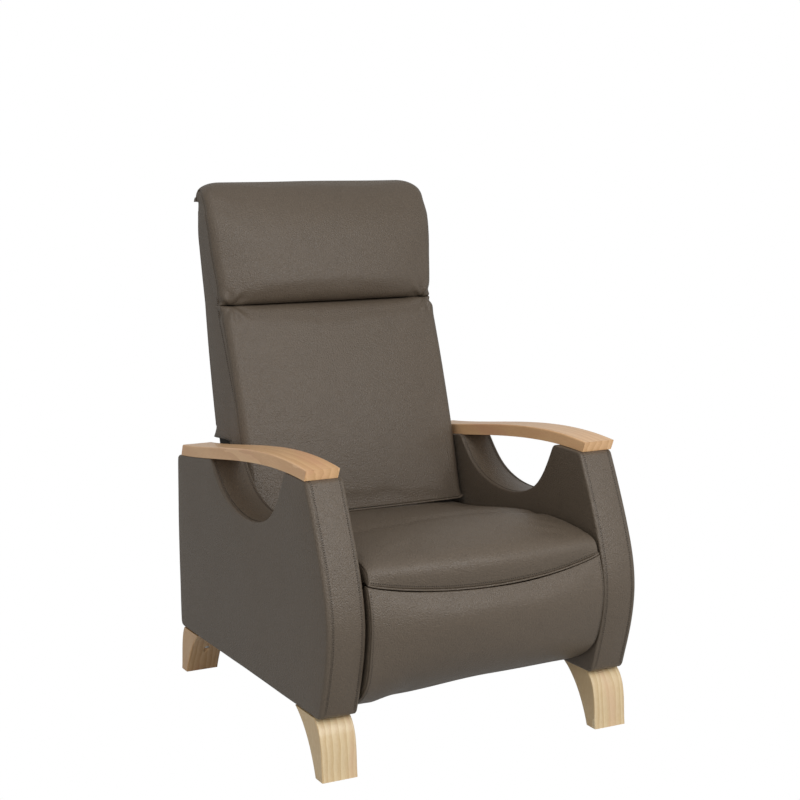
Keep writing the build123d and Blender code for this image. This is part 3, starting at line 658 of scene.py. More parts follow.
class Stitching(Tree):
    """A geometry tree that lays stitches along a path which carries the leather's normals."""

    def __init__(self, thread: bpy.types.Material) -> None:
        """Builds the tree once for every seam.

        Args:
            thread: the stitches' material.
        """
        super().__init__(bpy.data.node_groups.new("lay_stitches", "GeometryNodeTree"))
        face = self.tree.interface
        face.new_socket("Geometry", in_out="INPUT", socket_type="NodeSocketGeometry")
        self.inputs = [face.new_socket(name, in_out="INPUT", socket_type="NodeSocketFloat").identifier
                       for name in ("Pitch", "Length", "Width")]
        face.new_socket("Geometry", in_out="OUTPUT", socket_type="NodeSocketGeometry")
        path = self.node("NodeGroupInput", {}, {}, "Geometry")
        pitch, width = path.other("Pitch"), path.other("Width")
        curve = self.node("GeometryNodeMeshToCurve", {}, {0: path})
        spots = self.node("GeometryNodeResampleCurve", {"mode": "LENGTH"}, {"Curve": curve, "Length": pitch})
        normal = self.node("GeometryNodeInputNamedAttribute", {"data_type": "FLOAT_VECTOR"},
                           {"Name": "leather_normal"}, "Attribute")
        tangent = self.node("GeometryNodeInputTangent", {}, {})
        ahead = self.node("FunctionNodeAlignRotationToVector", {"axis": "X"}, {"Vector": tangent})
        turn = self.node("FunctionNodeAlignRotationToVector", {"axis": "Z", "pivot_axis": "X"},
                         {"Rotation": ahead, "Vector": normal})
        stitch = self.node("GeometryNodeMeshUVSphere", {}, {"Segments": 8, "Rings": 5, "Radius": 0.5})
        size = self.node("ShaderNodeCombineXYZ", {}, {0: path.other("Length"), 1: width, 2: width})
        laid = self.node("GeometryNodeInstanceOnPoints", {},
                         {"Points": spots, "Instance": stitch, "Rotation": turn, "Scale": size})
        real = self.node("GeometryNodeRealizeInstances", {}, {0: laid})
        dyed = self.node("GeometryNodeSetMaterial", {}, {"Geometry": real, "Material": thread})
        self.node("NodeGroupOutput", {}, {0: dyed}, None)

    def lay(self, name: str, path: np.ndarray, normals: np.ndarray, *sizes: float) -> bpy.types.Object:
        """Lays stitches on a path.

        Args:
            name: the new piece's name.
            path: places in millimetres on the leather.
            normals: the leather's outward normals there.
            sizes: pitch, length and width of the stitches in millimetres.

        Returns:
            The stitches as one plain mesh.
        """
        mesh = bpy.data.meshes.new(name)
        mesh.from_pydata(to_metres(path).tolist(), [(i, i + 1) for i in range(len(path) - 1)], [])
        layer = mesh.attributes.new("leather_normal", "FLOAT_VECTOR", "POINT")
        layer.data.foreach_set("vector", np.asarray(normals, np.float32).ravel())
        line = placed(name + "_line", mesh)
        modifier = line.modifiers.new("stitches", "NODES")
        modifier.node_group = self.tree
        for key, value in zip(self.inputs, sizes):
            modifier[key] = value * MM
        done = evaluated_mesh(line)
        line.modifiers.remove(modifier)
        bpy.data.objects.remove(line)
        done.name = name
        return placed(name, done)


@dataclass
class Workshop:
    """What every sub-assembly needs to dress and sew its pieces."""

    finishes: Finishes
    stitching: Stitching

    def keep(self, piece: bpy.types.Object, body: str, slot: str, material: bpy.types.Material | None = None,
             stands_for: Sequence[str] = (), fill: float | None = None) -> None:
        """Finishes a piece: its material, the body that it rides on and the node that it stands for.

        Args:
            piece: the finished object.
            body: the body that carries it.
            slot: a material slot name; not used.
            material: its material, or None where it has one.
            stands_for: nodes that it replaces.
            fill: how firmly it is stuffed, for a padded piece; not used.
        """
        if material:
            dress(piece, material)
        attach(piece, body)
        if stands_for:
            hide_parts(*stands_for)
        LOG.info("%s rides on %s with %d faces", piece.name, body, len(piece.data.polygons))

    def sew(self, leather: bpy.types.Object, name: str, body: str, path: np.ndarray, pitch: float = 4.8,
            length: float = 2.1, width: float = 2.2) -> None:
        """Sews a row of stitches into a piece of leather.

        Args:
            leather: the piece that is sewn.
            name: the new piece's name.
            body: the body that carries it.
            path: places near the leather, in millimetres.
            pitch: spacing of the stitches.
            length: length of a stitch.
            width: thickness of the thread.
        """
        tree = BVHTree.FromObject(leather, bpy.context.evaluated_depsgraph_get())
        places, normals = [], []
        for spot in to_metres(respaced(path, max(8, int(path_length(path) / 3)))):
            nearest, normal, _, _ = tree.find_nearest(Vector(spot))
            places.append(nearest[:])
            normals.append(normal[:])
        places, normals = from_metres(np.array(places)), np.array(normals)
        for columns in (places, normals):
            columns[1:-1] = (columns[:-2] + 2 * columns[1:-1] + columns[2:]) / 4
        normals /= np.linalg.norm(normals, axis=1, keepdims=True)
        self.keep(self.stitching.lay(name, places, normals, pitch, length, width), body, "leather")

    def welt(self, name: str, body: str, path: np.ndarray, facing: np.ndarray, radius: float) -> None:
        """Lays a leather-covered cord in a seam.

        Args:
            name: the new piece's name.
            body: the body that carries it.
            path: its middle line in millimetres.
            facing: a direction across the cord at each place.
            radius: half its thickness.
        """
        ahead = np.gradient(path, axis=0)
        ahead /= np.linalg.norm(ahead, axis=1, keepdims=True)
        side = np.cross(ahead, facing)
        side /= np.linalg.norm(side, axis=1, keepdims=True)
        up = np.cross(side, ahead)
        count = 10
        turns = np.radians(np.arange(count) * 360 / count)
        rings = [path + radius * (math.cos(t) * side + math.sin(t) * up) for t in turns]
        points = np.stack(rings, 1).reshape(-1, 3)
        faces = band_faces(len(path), count)
        faces += [tuple(range(count)), tuple(range(len(points) - count, len(points)))]
        self.keep(make_object(name, points, faces), body, "leather", self.finishes.leather)


# Sub-assemblies

@dataclass
class Arm:
    """One arm's leather: side panels, front strip, lining of the cut-out, and their seams.

    The outline's lines are the front, the top before the cut-out, the cut-out, the top behind it, the rear
    and the underside. trims rounds the corner after each, edges holds the radius of the outer edge along each,
    and soft how full each strip is. The shares give places as parts of the arm's depth and height.
    """

    side: Side
    thickness: float = 85.0
    outer: float = 370.0
    depth: float = 810.0
    height: float = 610.0
    floor_gap: float = 126.0
    rear_drop: float = 17.0
    rear_swell: float = 9.0
    rear_proud: float = 6.0
    trims: tuple[float, ...] = (8.0, 10.0, 10.0, 9.0, 14.0, 15.0)
    ring_pitch: float = 6.0
    edges: tuple[float, ...] = (9.0, 6.0, 6.0, 6.0, 7.0, 7.0)
    soft: tuple[float, ...] = (1.0, 0.0, 2.2, 0.0, 1.0, 0.0)
    inner_edge: float = 0.6
    panel_crown: float = 3.0
    inner_crown: float = 1.0
    crown_reach: float = 40.0
    panel_pitch: float = 11.0
    strip_crown: float = 1.8
    seam_inset: float = 1.6
    seam_depth: float = 1.6
    ridge: float = 0.5
    stitch_inset: float = 3.0
    front_shares: tuple[Point, ...] = ((0.017, 0.0), (-0.027, 0.256), (-0.036, 0.411), (-0.002, 0.649), (0.093, 1.0))
    armrest_shares: tuple[Point, ...] = ((0.096, 0.994), (0.31, 0.99), (0.585, 0.938), (0.975, 0.847))
    cutout_shares: tuple[Point, ...] = ((0.736, 0.899), (0.663, 0.781), (0.543, 0.709), (0.41, 0.711),
                                        (0.309, 0.783), (0.259, 0.886), (0.222, 1.0))

    def spots(self, shares: Sequence[Point]) -> list[Point]:
        """Shares of the arm's depth and height as places."""
        rise = self.height - self.floor_gap
        return [(y * self.depth, self.floor_gap + z * rise) for y, z in shares]

    def contour(self) -> tuple[np.ndarray, np.ndarray]:
        """The arm's outline with rounded corners.

        Returns:
            Its places, and the number of the line that each lies on.
        """
        front = smooth_through(self.spots(self.front_shares), 200)
        under = smooth_through(self.spots(self.armrest_shares), 400)
        cutout = smooth_through(self.spots(self.cutout_shares), 300)[::-1]
        under_z = lambda y: float(np.interp(y, under[:, 0], under[:, 1]))
        keep = [i for i, (y, z) in enumerate(cutout) if z < under_z(y)]
        cutout = cutout[keep[0]:keep[-1] + 1]
        front = front[front[:, 1] < under_z(self.spots(self.front_shares)[-1][0]) + 0.5]
        a, b, head = cutout[0], cutout[-1], front[-1]
        mask = (under[:, 0] > head[0]) & (under[:, 0] < a[0])
        top_front = np.concatenate([[head], under[mask], [a]])
        end = self.depth + self.rear_proud
        rear_z = under_z(self.depth) - 4.0
        top_rear = np.concatenate([[b], under[under[:, 0] > b[0]], [(end, rear_z)]])
        foot = (end - 2.0, self.floor_gap - self.rear_drop)
        rear = straight((end, rear_z), foot, 80)
        rear[:, 0] += self.rear_swell * np.sin(np.linspace(0, math.pi, 80)) ** 0.5
        parts = [front, top_front, cutout, top_rear, rear, straight(foot, tuple(front[0]), 120)]
        ring, owners = rounded_corners(parts, self.trims)
        return by_bend(ring, owners, self.ring_pitch)

    def spread(self, owners: np.ndarray, values: Sequence[float]) -> np.ndarray:
        """A value for each line of the outline, blended where the lines meet."""
        raw = np.array(values, float)[owners]
        return np.convolve(np.concatenate([raw[-4:], raw, raw[:4]]), np.ones(9) / 9, "valid")

    def half_profile(self, edge: np.ndarray, soft: np.ndarray) -> list[tuple[np.ndarray, np.ndarray, float]]:
        """Rows from a side panel's edge to the middle of the strip.

        Args:
            edge: radius of the edge at each place of the outline.
            soft: fullness of the strip at each place.

        Returns:
            Distance from the arm's middle, inset from the outline, and painted shade for each row, darkest in the
            seam's groove.
        """
        half = self.thickness / 2
        flat = half - edge
        seam = flat - self.seam_inset
        rows = []
        for angle in np.radians(np.linspace(0, 90, 8)):
            rows.append((half - edge * (1 - math.cos(angle)), edge * (1 - math.sin(angle)), 0.0))
        full = np.minimum(soft, 1.0)
        # The last number of each row is painted shade, strongest in the seam's groove.
        rows += [(flat - 0.6, -self.ridge * full, 0.0), (seam, self.seam_depth * np.maximum(full, 0.3), 1.0),
                 (seam - 1.2, 0.15 * full, 0.3), (seam - 3.0, np.zeros_like(full), 0.0)]
        for share in np.linspace(0.88, 0.0, 6):
            rows.append(((seam - 3.0) * share, -self.strip_crown * (1 - share**2) * soft, 0.0))
        return rows

    def build(self, shop: Workshop) -> None:
        """Builds the arm's leather and stitches.

        Args:
            shop: finishes and tools.
        """
        ring, owners = self.contour()
        normals, edge, soft = outward(ring), self.spread(owners, self.edges), self.spread(owners, self.soft)
        half, count = self.thickness / 2, len(ring)
        middle = self.outer - half
        insides = self.half_profile(edge * self.inner_edge, soft)
        rows = self.half_profile(edge, soft) + [(-x, inset, crease) for x, inset, crease in insides[-2::-1]]
        points = [np.column_stack([middle + x, ring - normals * inset[:, None]]) for x, inset, _ in rows]
        seam_shades = [np.full(count, crease) for _, _, crease in rows]
        faces = band_faces(len(rows), count)
        panels = ((0, 1, edge, self.panel_crown), (len(rows) - 1, -1, edge * self.inner_edge, self.inner_crown))
        for row, sign, radius, crown in panels:
            inner, triangles, gap = fill_ring(ring - normals * radius[:, None], self.panel_pitch)
            rise = crown * (1 - np.exp(-gap / self.crown_reach))
            faces += panel_faces(triangles, row * count, count, sum(len(p) for p in points))
            points.append(np.column_stack([middle + sign * (half + rise), inner]))
            seam_shades.append(np.zeros(len(inner)))
        every = np.concatenate(points)
        every[:, 0] *= self.side.value
        piece = make_object(f"arm_leather_{self.side.word}", every, faces)
        # Paints the shade of the seam grooves on the mesh, for the leather to darken there.
        paint(piece, "crease", every, np.concatenate(seam_shades))
        undulate(piece, 0.8, 120.0, 3.0 + self.side.value)
        shop.keep(piece, "frame", "leather", shop.finishes.leather, [f"arm_upholstery_{self.side.word}"], 0.9)
        for label, wanted in (("front", 0), ("cutout", 2)):
            picks = np.where(owners == wanted)[0]
            for name, sign, radius in (("outer", 1, edge), ("inner", -1, edge * self.inner_edge)):
                across = half - radius[picks] - self.seam_inset - self.stitch_inset
                path = np.column_stack([(middle + sign * across) * self.side.value, ring[picks]])
                shop.sew(piece, f"arm_stitches_{label}_{name}_{self.side.word}", "frame", path)


def paint(piece: bpy.types.Object, name: str, points: np.ndarray, values: np.ndarray) -> None:
    """Writes a value for each vertex, found by its nearest given place.

    Args:
        piece: the object to paint.
        name: the attribute's name.
        points: places in millimetres with known values.
        values: the value at each.
    """
    tree = near_tree(points)
    found = [float(values[tree.find(vertex.co)[1]]) for vertex in piece.data.vertices]
    layer = piece.data.attributes.get(name) or piece.data.attributes.new(name, "FLOAT", "POINT")
    layer.data.foreach_set("value", found)


@dataclass
class Cushion:
    """A cushion laid out across the chair through side views, with rolled ends.

    firm tells how much each place of the side view takes part in the roll. held tells which places rest on
    something and stay flat. The cover is sewn along both ends between the side view's places in sewn, where
    it is drawn in by groove. end_insets places the last rows, and end_pitch spaces the mesh of the flat ends.
    """

    name: str
    half: Callable[[np.ndarray], np.ndarray]
    section: Callable[[float], np.ndarray]
    firm: np.ndarray
    held: Callable[[np.ndarray], np.ndarray]
    sewn: tuple[int, int]
    roll: float = 18.0
    end_crown: float = 3.0
    crown_reach: float = 22.0
    end_pitch: float = 12.0
    end_insets: tuple[float, ...] = (2.0, 5.0)
    columns: int = 64
    voxel: float = 6.0
    groove: float = 1.6

    def rows(self) -> list[tuple[float, float, float]]:
        """Share of the way across, share of the roll and further inset for each row, from left to right."""
        reach, steps = float(self.half(np.array([500.0]))[0]), 9
        ends = []
        for angle in np.radians(np.linspace(0, 90, steps + 1)):
            ends.append((1 - self.roll / reach * (1 - math.sin(angle)), 1 - math.cos(angle), 0.0))
        ends += [(1.0, 1.0, more) for more in self.end_insets]
        middle = [(share, 0.0, 0.0) for share in np.linspace(-ends[0][0], ends[0][0], self.columns)]
        return [(-share, inset, more) for share, inset, more in ends[::-1]][:-1] + middle + ends[1:]

    def ring(self, share: float, inset: float, more: float) -> np.ndarray:
        """Places (X, Y, Z) of one row."""
        flat = self.section(share)
        flat = flat - outward(flat) * ((inset * self.roll + more) * self.firm)[:, None]
        return np.column_stack([share * self.half(flat[:, 1]), flat])

    def along(self, index: int) -> np.ndarray:
        """The line that one place of the side view draws across the cushion."""
        return np.array([self.ring(*row)[index] for row in self.rows() if row[2] == 0])

    def ends(self) -> list[np.ndarray]:
        """The seams at the left and the right end."""
        first, last = self.sewn
        return [self.ring(sign, 1.0, 0.0)[first:last] for sign in (-1.0, 1.0)]

    def build(self) -> bpy.types.Object:
        """Makes the cushion's pattern as a closed mesh."""
        rings = [self.ring(*row) for row in self.rows()]
        points, count = list(rings), len(rings[0])
        faces = band_faces(len(rings), count)
        for row, sign in ((0, -1), (len(rings) - 1, 1)):
            inner, triangles, gap = fill_ring(rings[row][:, 1:], self.end_pitch)
            bulge = self.end_crown * (1 - np.exp(-gap / self.crown_reach))
            faces += panel_faces(triangles, row * count, count, sum(len(p) for p in points))
            points.append(np.column_stack([sign * (self.half(inner[:, 1]) + bulge), inner]))
        return make_object(self.name, np.concatenate(points), faces)


@dataclass
class Stuffing:
    """Fills the cushions' covers.

    A copy of each cover starts a little slack and is blown up as cloth under pressure, held along its seams.
    The waves that this draws in it are then given to the cushion itself, kept within cap, low and high, and
    smoothed in a number of rounds. Lengths are in millimetres.
    """

    shrink: float = 7.0
    seam_shrink: float = 1.0
    seam_reach: float = 18.0
    pressure: float = 4.0
    frames: int = 20
    quality: int = 6
    mass: float = 0.3
    stretching: float = 12.0
    bending: float = 1.0
    spare: float = 0.012
    hold: float = 4.0
    rounds: int = 10
    cap: float = 24.0
    share: float = 0.3
    low: float = 1.3
    high: float = 1.1
    fade: float = 9.0

    def fill(self, cushions: Sequence[Cushion], pieces: Sequence[bpy.types.Object]) -> None:
        """Simulates all covers together and gives each piece its filled shape.

        Args:
            cushions: what the covers are cut to.
            pieces: their patterns, which take the filled shapes.
        """
        scene = bpy.context.scene
        covers = [self.slacken(cushion, piece) for cushion, piece in zip(cushions, pieces)]
        for frame_number in range(1, self.frames + 1):
            scene.frame_set(frame_number)
        graph = bpy.context.evaluated_depsgraph_get()
        for cushion, piece, cover in zip(cushions, pieces, covers):
            blown = vertex_places(cover.evaluated_get(graph).data)
            cover.modifiers.clear()
            start = vertex_places(cover.data)
            length = np.linalg.norm(blown - start, axis=1, keepdims=True)
            blown = start + (blown - start) * np.minimum(1.0, self.cap * MM / np.maximum(length, 1e-9))
            faces = [face.vertices[:] for face in cover.data.polygons]
            self.settle(cushion, piece, BVHTree.FromPolygons(blown.tolist(), faces))
            bpy.data.objects.remove(cover)
        scene.frame_set(1)

    def slacken(self, cushion: Cushion, piece: bpy.types.Object) -> bpy.types.Object:
        """Makes an even, slightly small cover that is held along its seams and where it rests.

        Args:
            cushion: what the cover is cut to.
            piece: its pattern.

        Returns:
            The cover with its cloth settings.
        """
        remesh = piece.modifiers.new("even", "REMESH")
        remesh.mode, remesh.voxel_size = "VOXEL", cushion.voxel * MM
        mesh = evaluated_mesh(piece)
        piece.modifiers.remove(remesh)
        cover = placed(cushion.name + "_cover", mesh)
        spots, normals = from_metres(vertex_places(mesh)), vertex_normals(mesh)
        held, gap = cushion.held(spots), seam_gap(spots, cushion.ends())
        shrink = self.seam_shrink + (self.shrink - self.seam_shrink) * (1 - np.exp(-((gap / self.seam_reach) ** 2)))
        mesh.vertices.foreach_set("co", to_metres(spots - normals * np.where(held, 0.0, shrink)[:, None]).ravel())
        group = cover.vertex_groups.new(name="held")
        group.add([int(i) for i in np.where(held | (gap < self.hold))[0]], 1.0, "REPLACE")
        cloth = cover.modifiers.new("cloth", "CLOTH")
        settings = cloth.settings
        settings.quality, settings.mass = self.quality, self.mass
        settings.tension_stiffness = settings.compression_stiffness = self.stretching
        settings.bending_stiffness = self.bending
        settings.use_pressure, settings.uniform_pressure_force = True, self.pressure
        settings.effector_weights.gravity = 0.0
        settings.shrink_min = -self.spare
        settings.vertex_group_mass = "held"
        cloth.collision_settings.use_collision = False
        cloth.point_cache.frame_start, cloth.point_cache.frame_end = 1, self.frames
        return cover

    def settle(self, cushion: Cushion, piece: bpy.types.Object, blown: BVHTree) -> None:
        """Refines the cushion and gives it the blown cover's waves.

        Args:
            cushion: what the cover is cut to.
            piece: the pattern, which takes the waves.
            blown: the blown cover's surface.
        """
        finer = piece.modifiers.new("finer", "SUBSURF")
        finer.levels = finer.render_levels = 1
        mesh = evaluated_mesh(piece)
        piece.modifiers.remove(finer)
        spots, normals = vertex_places(mesh), vertex_normals(mesh)
        wave = np.empty(len(spots))
        for index, (spot, normal) in enumerate(zip(spots, normals)):
            nearest = blown.find_nearest(Vector(spot))[0]
            wave[index] = (np.array(nearest) - spot) @ normal / MM
        places = from_metres(spots)
        held, gap = cushion.held(places), seam_gap(places, cushion.ends())
        wave = np.clip((wave - np.median(wave[~held])) * self.share, -self.low, self.high)
        wave = np.where(held, 0.0, wave * (1 - np.exp(-((gap / self.fade) ** 2))))
        edges = np.empty(len(mesh.edges) * 2, int)
        mesh.edges.foreach_get("vertices", edges)
        one, other = edges.reshape(-1, 2).T
        total = len(wave)
        count = np.bincount(edges, minlength=total)
        for _ in range(self.rounds):
            near = np.bincount(one, wave[other], total) + np.bincount(other, wave[one], total)
            wave = (wave + near / np.maximum(count, 1)) / 2
        mesh.vertices.foreach_set("co", (spots + normals * wave[:, None] * MM).ravel())
        mesh.name = piece.name
        mesh.polygons.foreach_set("use_smooth", [True] * len(mesh.polygons))
        piece.data = mesh


def vertex_places(mesh: bpy.types.Mesh) -> np.ndarray:
    """The places of a mesh's vertices, in metres."""
    places = np.empty(len(mesh.vertices) * 3)
    mesh.vertices.foreach_get("co", places)
    return places.reshape(-1, 3)


def vertex_normals(mesh: bpy.types.Mesh) -> np.ndarray:
    """The normals of a mesh's vertices."""
    return np.array([vertex.normal[:] for vertex in mesh.vertices])


def seam_gap(spots: np.ndarray, seams: Sequence[np.ndarray]) -> np.ndarray:
    """Distance of each place to the nearest seam, in millimetres."""
    tree = near_tree(np.concatenate([respaced(seam, 500) for seam in seams]))
    return np.array([tree.find(spot)[2] for spot in to_metres(spots)]) / MM


def draw_in(piece: bpy.types.Object, cushion: Cushion) -> None:
    """Draws a cushion's cover in along its end seams, and paints shade along them.

    Args:
        piece: the filled cushion.
        cushion: its pattern.
    """
    mesh = piece.data
    spots, normals = from_metres(vertex_places(mesh)), vertex_normals(mesh)
    gap = seam_gap(spots, cushion.ends())
    spots -= normals * (cushion.groove * np.exp(-((gap / 2.2) ** 2)))[:, None]
    mesh.vertices.foreach_set("co", to_metres(spots).ravel())
    # Painted shade along the end seams, for the leather to darken there.
    layer = mesh.attributes.new("crease", "FLOAT", "POINT")
    layer.data.foreach_set("value", np.exp(-((gap / 1.5) ** 2)))
    mesh.update()


@dataclass
class Seat:
    """The seat cushion and the footrest pad below it, which meet on arcs about the footrest's centre.

    nose is the radius of the arc and seam the angle of the front seam, at the ends and in the middle. hanging
    tells how far each place of panel sags forward and down at the pad's left end. The sag grows along
    hang_reach, measured from the middle to the left, and eases by hang_ease along ease_reach. slip_reach is
    where the pad comes forward. upper_count and front_count say how many places of a side view lie on its
    leather, and the fades how many of them are held firm by degrees at either end.
    """

    half_width: float = 275.0
    centre: Point = (-17.0, 431.0)
    nose_end: float = 28.0
    nose_middle: float = 62.0
    seam_end: float = -98.0
    seam_middle: float = -119.0
    back_angle: float = -54.0
    panel_back_angle: float = -72.0
    gap: float = 2.0
    depth: float = 658.0
    crown: float = 16.0
    rise: float = 96.0
    front_bulge: float = 36.0
    bottom: float = 360.5
    rail_start: float = 24.0
    step: float = 24.0
    fold: Point = (196.0, 4.5)
    fold_width: float = 24.0
    fold_height: float = 60.0
    fold_sway: Point = (9.0, 2.6)
    fold_phase: float = 0.6
    upper_count: int = 110
    upper_fades: tuple[int, int] = (36, 6)
    front_count: int = 90
    front_fades: tuple[int, int] = (8, 20)
    top_shares: tuple[Point, ...] = ((-0.021, 0.71), (0.04, 0.9), (0.2, 1.0), (0.45, 0.84), (0.82, 0.45), (1.0, 0.38))
    bulge_shares: tuple[float, ...] = (0.42, 0.8, 1.0, 1.0, 0.5, 0.3)
    nose_shares: tuple[float, ...] = (1.0, 0.6, 0.1, 0.0, 0.0, 0.0)
    panel: tuple[Point, ...] = ((-38.0, 345.0), (-33.0, 265.0), (-8.0, 200.0), (45.0, 158.0), (101.0, 133.0))
    panel_shares: tuple[float, ...] = (1.0, 0.95, 0.6, 0.3, 0.0)
    panel_bulge: float = 24.0
    hanging: tuple[Point, ...] = ((0, 0), (2.0, 0), (12.0, 2.0), (28.0, 7.5), (42.0, 11.0))
    hang_reach: Point = (-60.0, 140.0)
    hang_ease: float = 0.65
    ease_reach: Point = (205.0, 268.0)
    slip_reach: Point = (150.0, 270.0)
    hem: Point = (4.0, 18.0)
    board: tuple[Point, ...] = ((20.0, 205.0), (8.0, 205.0), (8.0, 370.0))
    widening: float = 1.2
    panel_widening: float = 4.0
    welt_radius: float = 2.1

    def swell(self, share: float) -> float:
        """Fullness across the seat, 1 in the middle and 0 at the sides."""
        return 1 - share * share

    def around(self, radius: float, angle: float) -> Point:
        """A place on a circle about the footrest's centre."""
        turn = math.radians(angle)
        return (self.centre[0] + radius * math.cos(turn), self.centre[1] + radius * math.sin(turn))

    def seam(self, share: float) -> tuple[float, float]:
        """Radius and angle of the front seam at a share of the way across."""
        full = self.swell(share)
        return (self.nose_end + (self.nose_middle - self.nose_end) * full,
                self.seam_end + (self.seam_middle - self.seam_end) * full)

    def section(self, share: float) -> np.ndarray:
        """The cushion's side view as a ring of places."""
        nose, angle = self.seam(share)
        top = []
        for (y, z), crown, forward in zip(self.top_shares, self.bulge_shares, self.nose_shares):
            top.append((y * self.depth - forward * self.front_bulge * self.swell(share),
                        self.bottom + z * self.rise + crown * self.crown * self.swell(share)))
        back = self.around(nose, self.back_angle)
        inner = (self.rail_start, self.bottom + self.step)
        upper = smooth_through([self.around(nose, angle)] + top, self.upper_count)
        place, depth = self.fold
        sway, waves = self.fold_sway
        bend = place + sway * math.sin(share * waves + self.fold_phase)
        dip = np.exp(-(((upper[:, 0] - bend) / self.fold_width) ** 2))
        upper[:, 1] -= depth * dip * (upper[:, 1] > self.bottom + self.fold_height)
        lines = [upper, straight(top[-1], (self.depth, self.bottom), 8)[1:],
                 straight((self.depth, self.bottom), (self.rail_start, self.bottom), 40)[1:],
                 straight((self.rail_start, self.bottom), inner, 5)[1:], straight(inner, back, 4)[1:],
                 arc(self.centre, nose, self.back_angle, angle, 9)[1:-1]]
        return np.concatenate(lines)

    def panel_section(self, share: float) -> np.ndarray:
        """The footrest pad's side view as a ring of places."""
        nose, angle = self.seam(share)
        nose += self.gap
        place = -share * self.half_width
        hang = smooth_step(place, *self.hang_reach) * (1 - self.hang_ease * smooth_step(place, *self.ease_reach))
        slip = smooth_step(place, *self.slip_reach)
        front = []
        for (y, z), k, (forward, down) in zip(self.panel, self.panel_shares, self.hanging):
            front.append((y - k * self.panel_bulge * self.swell(share) - forward * slip, z - down * hang))
        tip = front[-1]
        turned = (tip[0] + self.hem[0], tip[1] + self.hem[1])
        stops = [tip, turned, *self.board, self.around(nose, self.panel_back_angle)]
        lines = [straight(start, end, count)[1:] for start, end, count in zip(stops, stops[1:], (5, 14, 3, 20, 5))]
        return np.concatenate([smooth_through([self.around(nose, angle)] + front, self.front_count), *lines,
                               arc(self.centre, nose, self.panel_back_angle, angle, 8)[1:-1]])

    def cushions(self) -> list[Cushion]:
        """The seat cushion and the footrest pad, ready to be filled."""
        firm = np.zeros(len(self.section(0.0)))
        start, end = self.upper_fades
        firm[:self.upper_count] = 1.0
        firm[:start] = np.linspace(0.12, 1, start)
        firm[self.upper_count - end:self.upper_count] = np.linspace(1, 0.3, end)
        rests = lambda p: (p[:, 2] < self.bottom + 3) | (p[:, 1] > self.depth - 3) | ((p[:, 2] < 392) & (p[:, 1] > 0))
        half = lambda z: self.half_width + self.widening * smooth_step(z, 455.0, 410.0)
        seat = Cushion("seat_leather", half, self.section, firm, rests, (0, self.upper_count - 2), roll=24.0,
                       end_crown=3.0, columns=72, voxel=6.5)
        firm = np.zeros(len(self.panel_section(0.0)))
        start, end = self.front_fades
        beyond = 4
        firm[:self.front_count] = 1.0
        firm[:start] = np.linspace(0.25, 1, start)
        firm[self.front_count - end:self.front_count + beyond] = np.linspace(1, 0.15, end + beyond)
        rests = lambda p: p[:, 1] > np.maximum(4.0, (self.board[0][1] - p[:, 2]) * 0.9)
        half = lambda z: np.full(len(z), self.half_width + self.panel_widening)
        pad = Cushion("footrest_leather", half, self.panel_section, firm, rests, (1, self.front_count + 1), roll=4.5,
                      end_crown=0.3)
        return [seat, pad]

    def finish(self, shop: Workshop, cushions: Sequence[Cushion], pieces: Sequence[bpy.types.Object]) -> None:
        """Sews and dresses the filled cushions.

        Args:
            shop: finishes and tools.
            cushions: their patterns.
            pieces: the filled cushions, seat first.
        """
        (seat, pad), (seat_piece, pad_piece) = cushions, pieces
        for piece, cushion in zip(pieces, cushions):
            undulate(piece, 1.3, 150.0, 8.0 + cushion.roll)
            draw_in(piece, cushion)
        shop.keep(seat_piece, "frame", "leather", shop.finishes.leather, ["seat_cushion"], 0.75)
        shop.keep(pad_piece, "footrest", "leather", shop.finishes.leather, ["footrest_pad"], 0.8)
        lip = respaced(seat.along(0), 160)
        shop.welt("seat_front_welt", "frame", lip, np.tile((0.0, -1.0, -0.2), (len(lip), 1)), self.welt_radius)
        shop.sew(seat_piece, "seat_front_stitches", "frame", respaced(seat.along(1), 200)[3:-3])
        for word, line, sign in zip(("left", "right"), pad.ends(), (-1, 1)):
            line = line - np.array([sign * (pad.roll + 1.0), pad.roll * 0.6, 0])
            shop.sew(pad_piece, f"footrest_stitches_{word}", "footrest", line[3:-3])


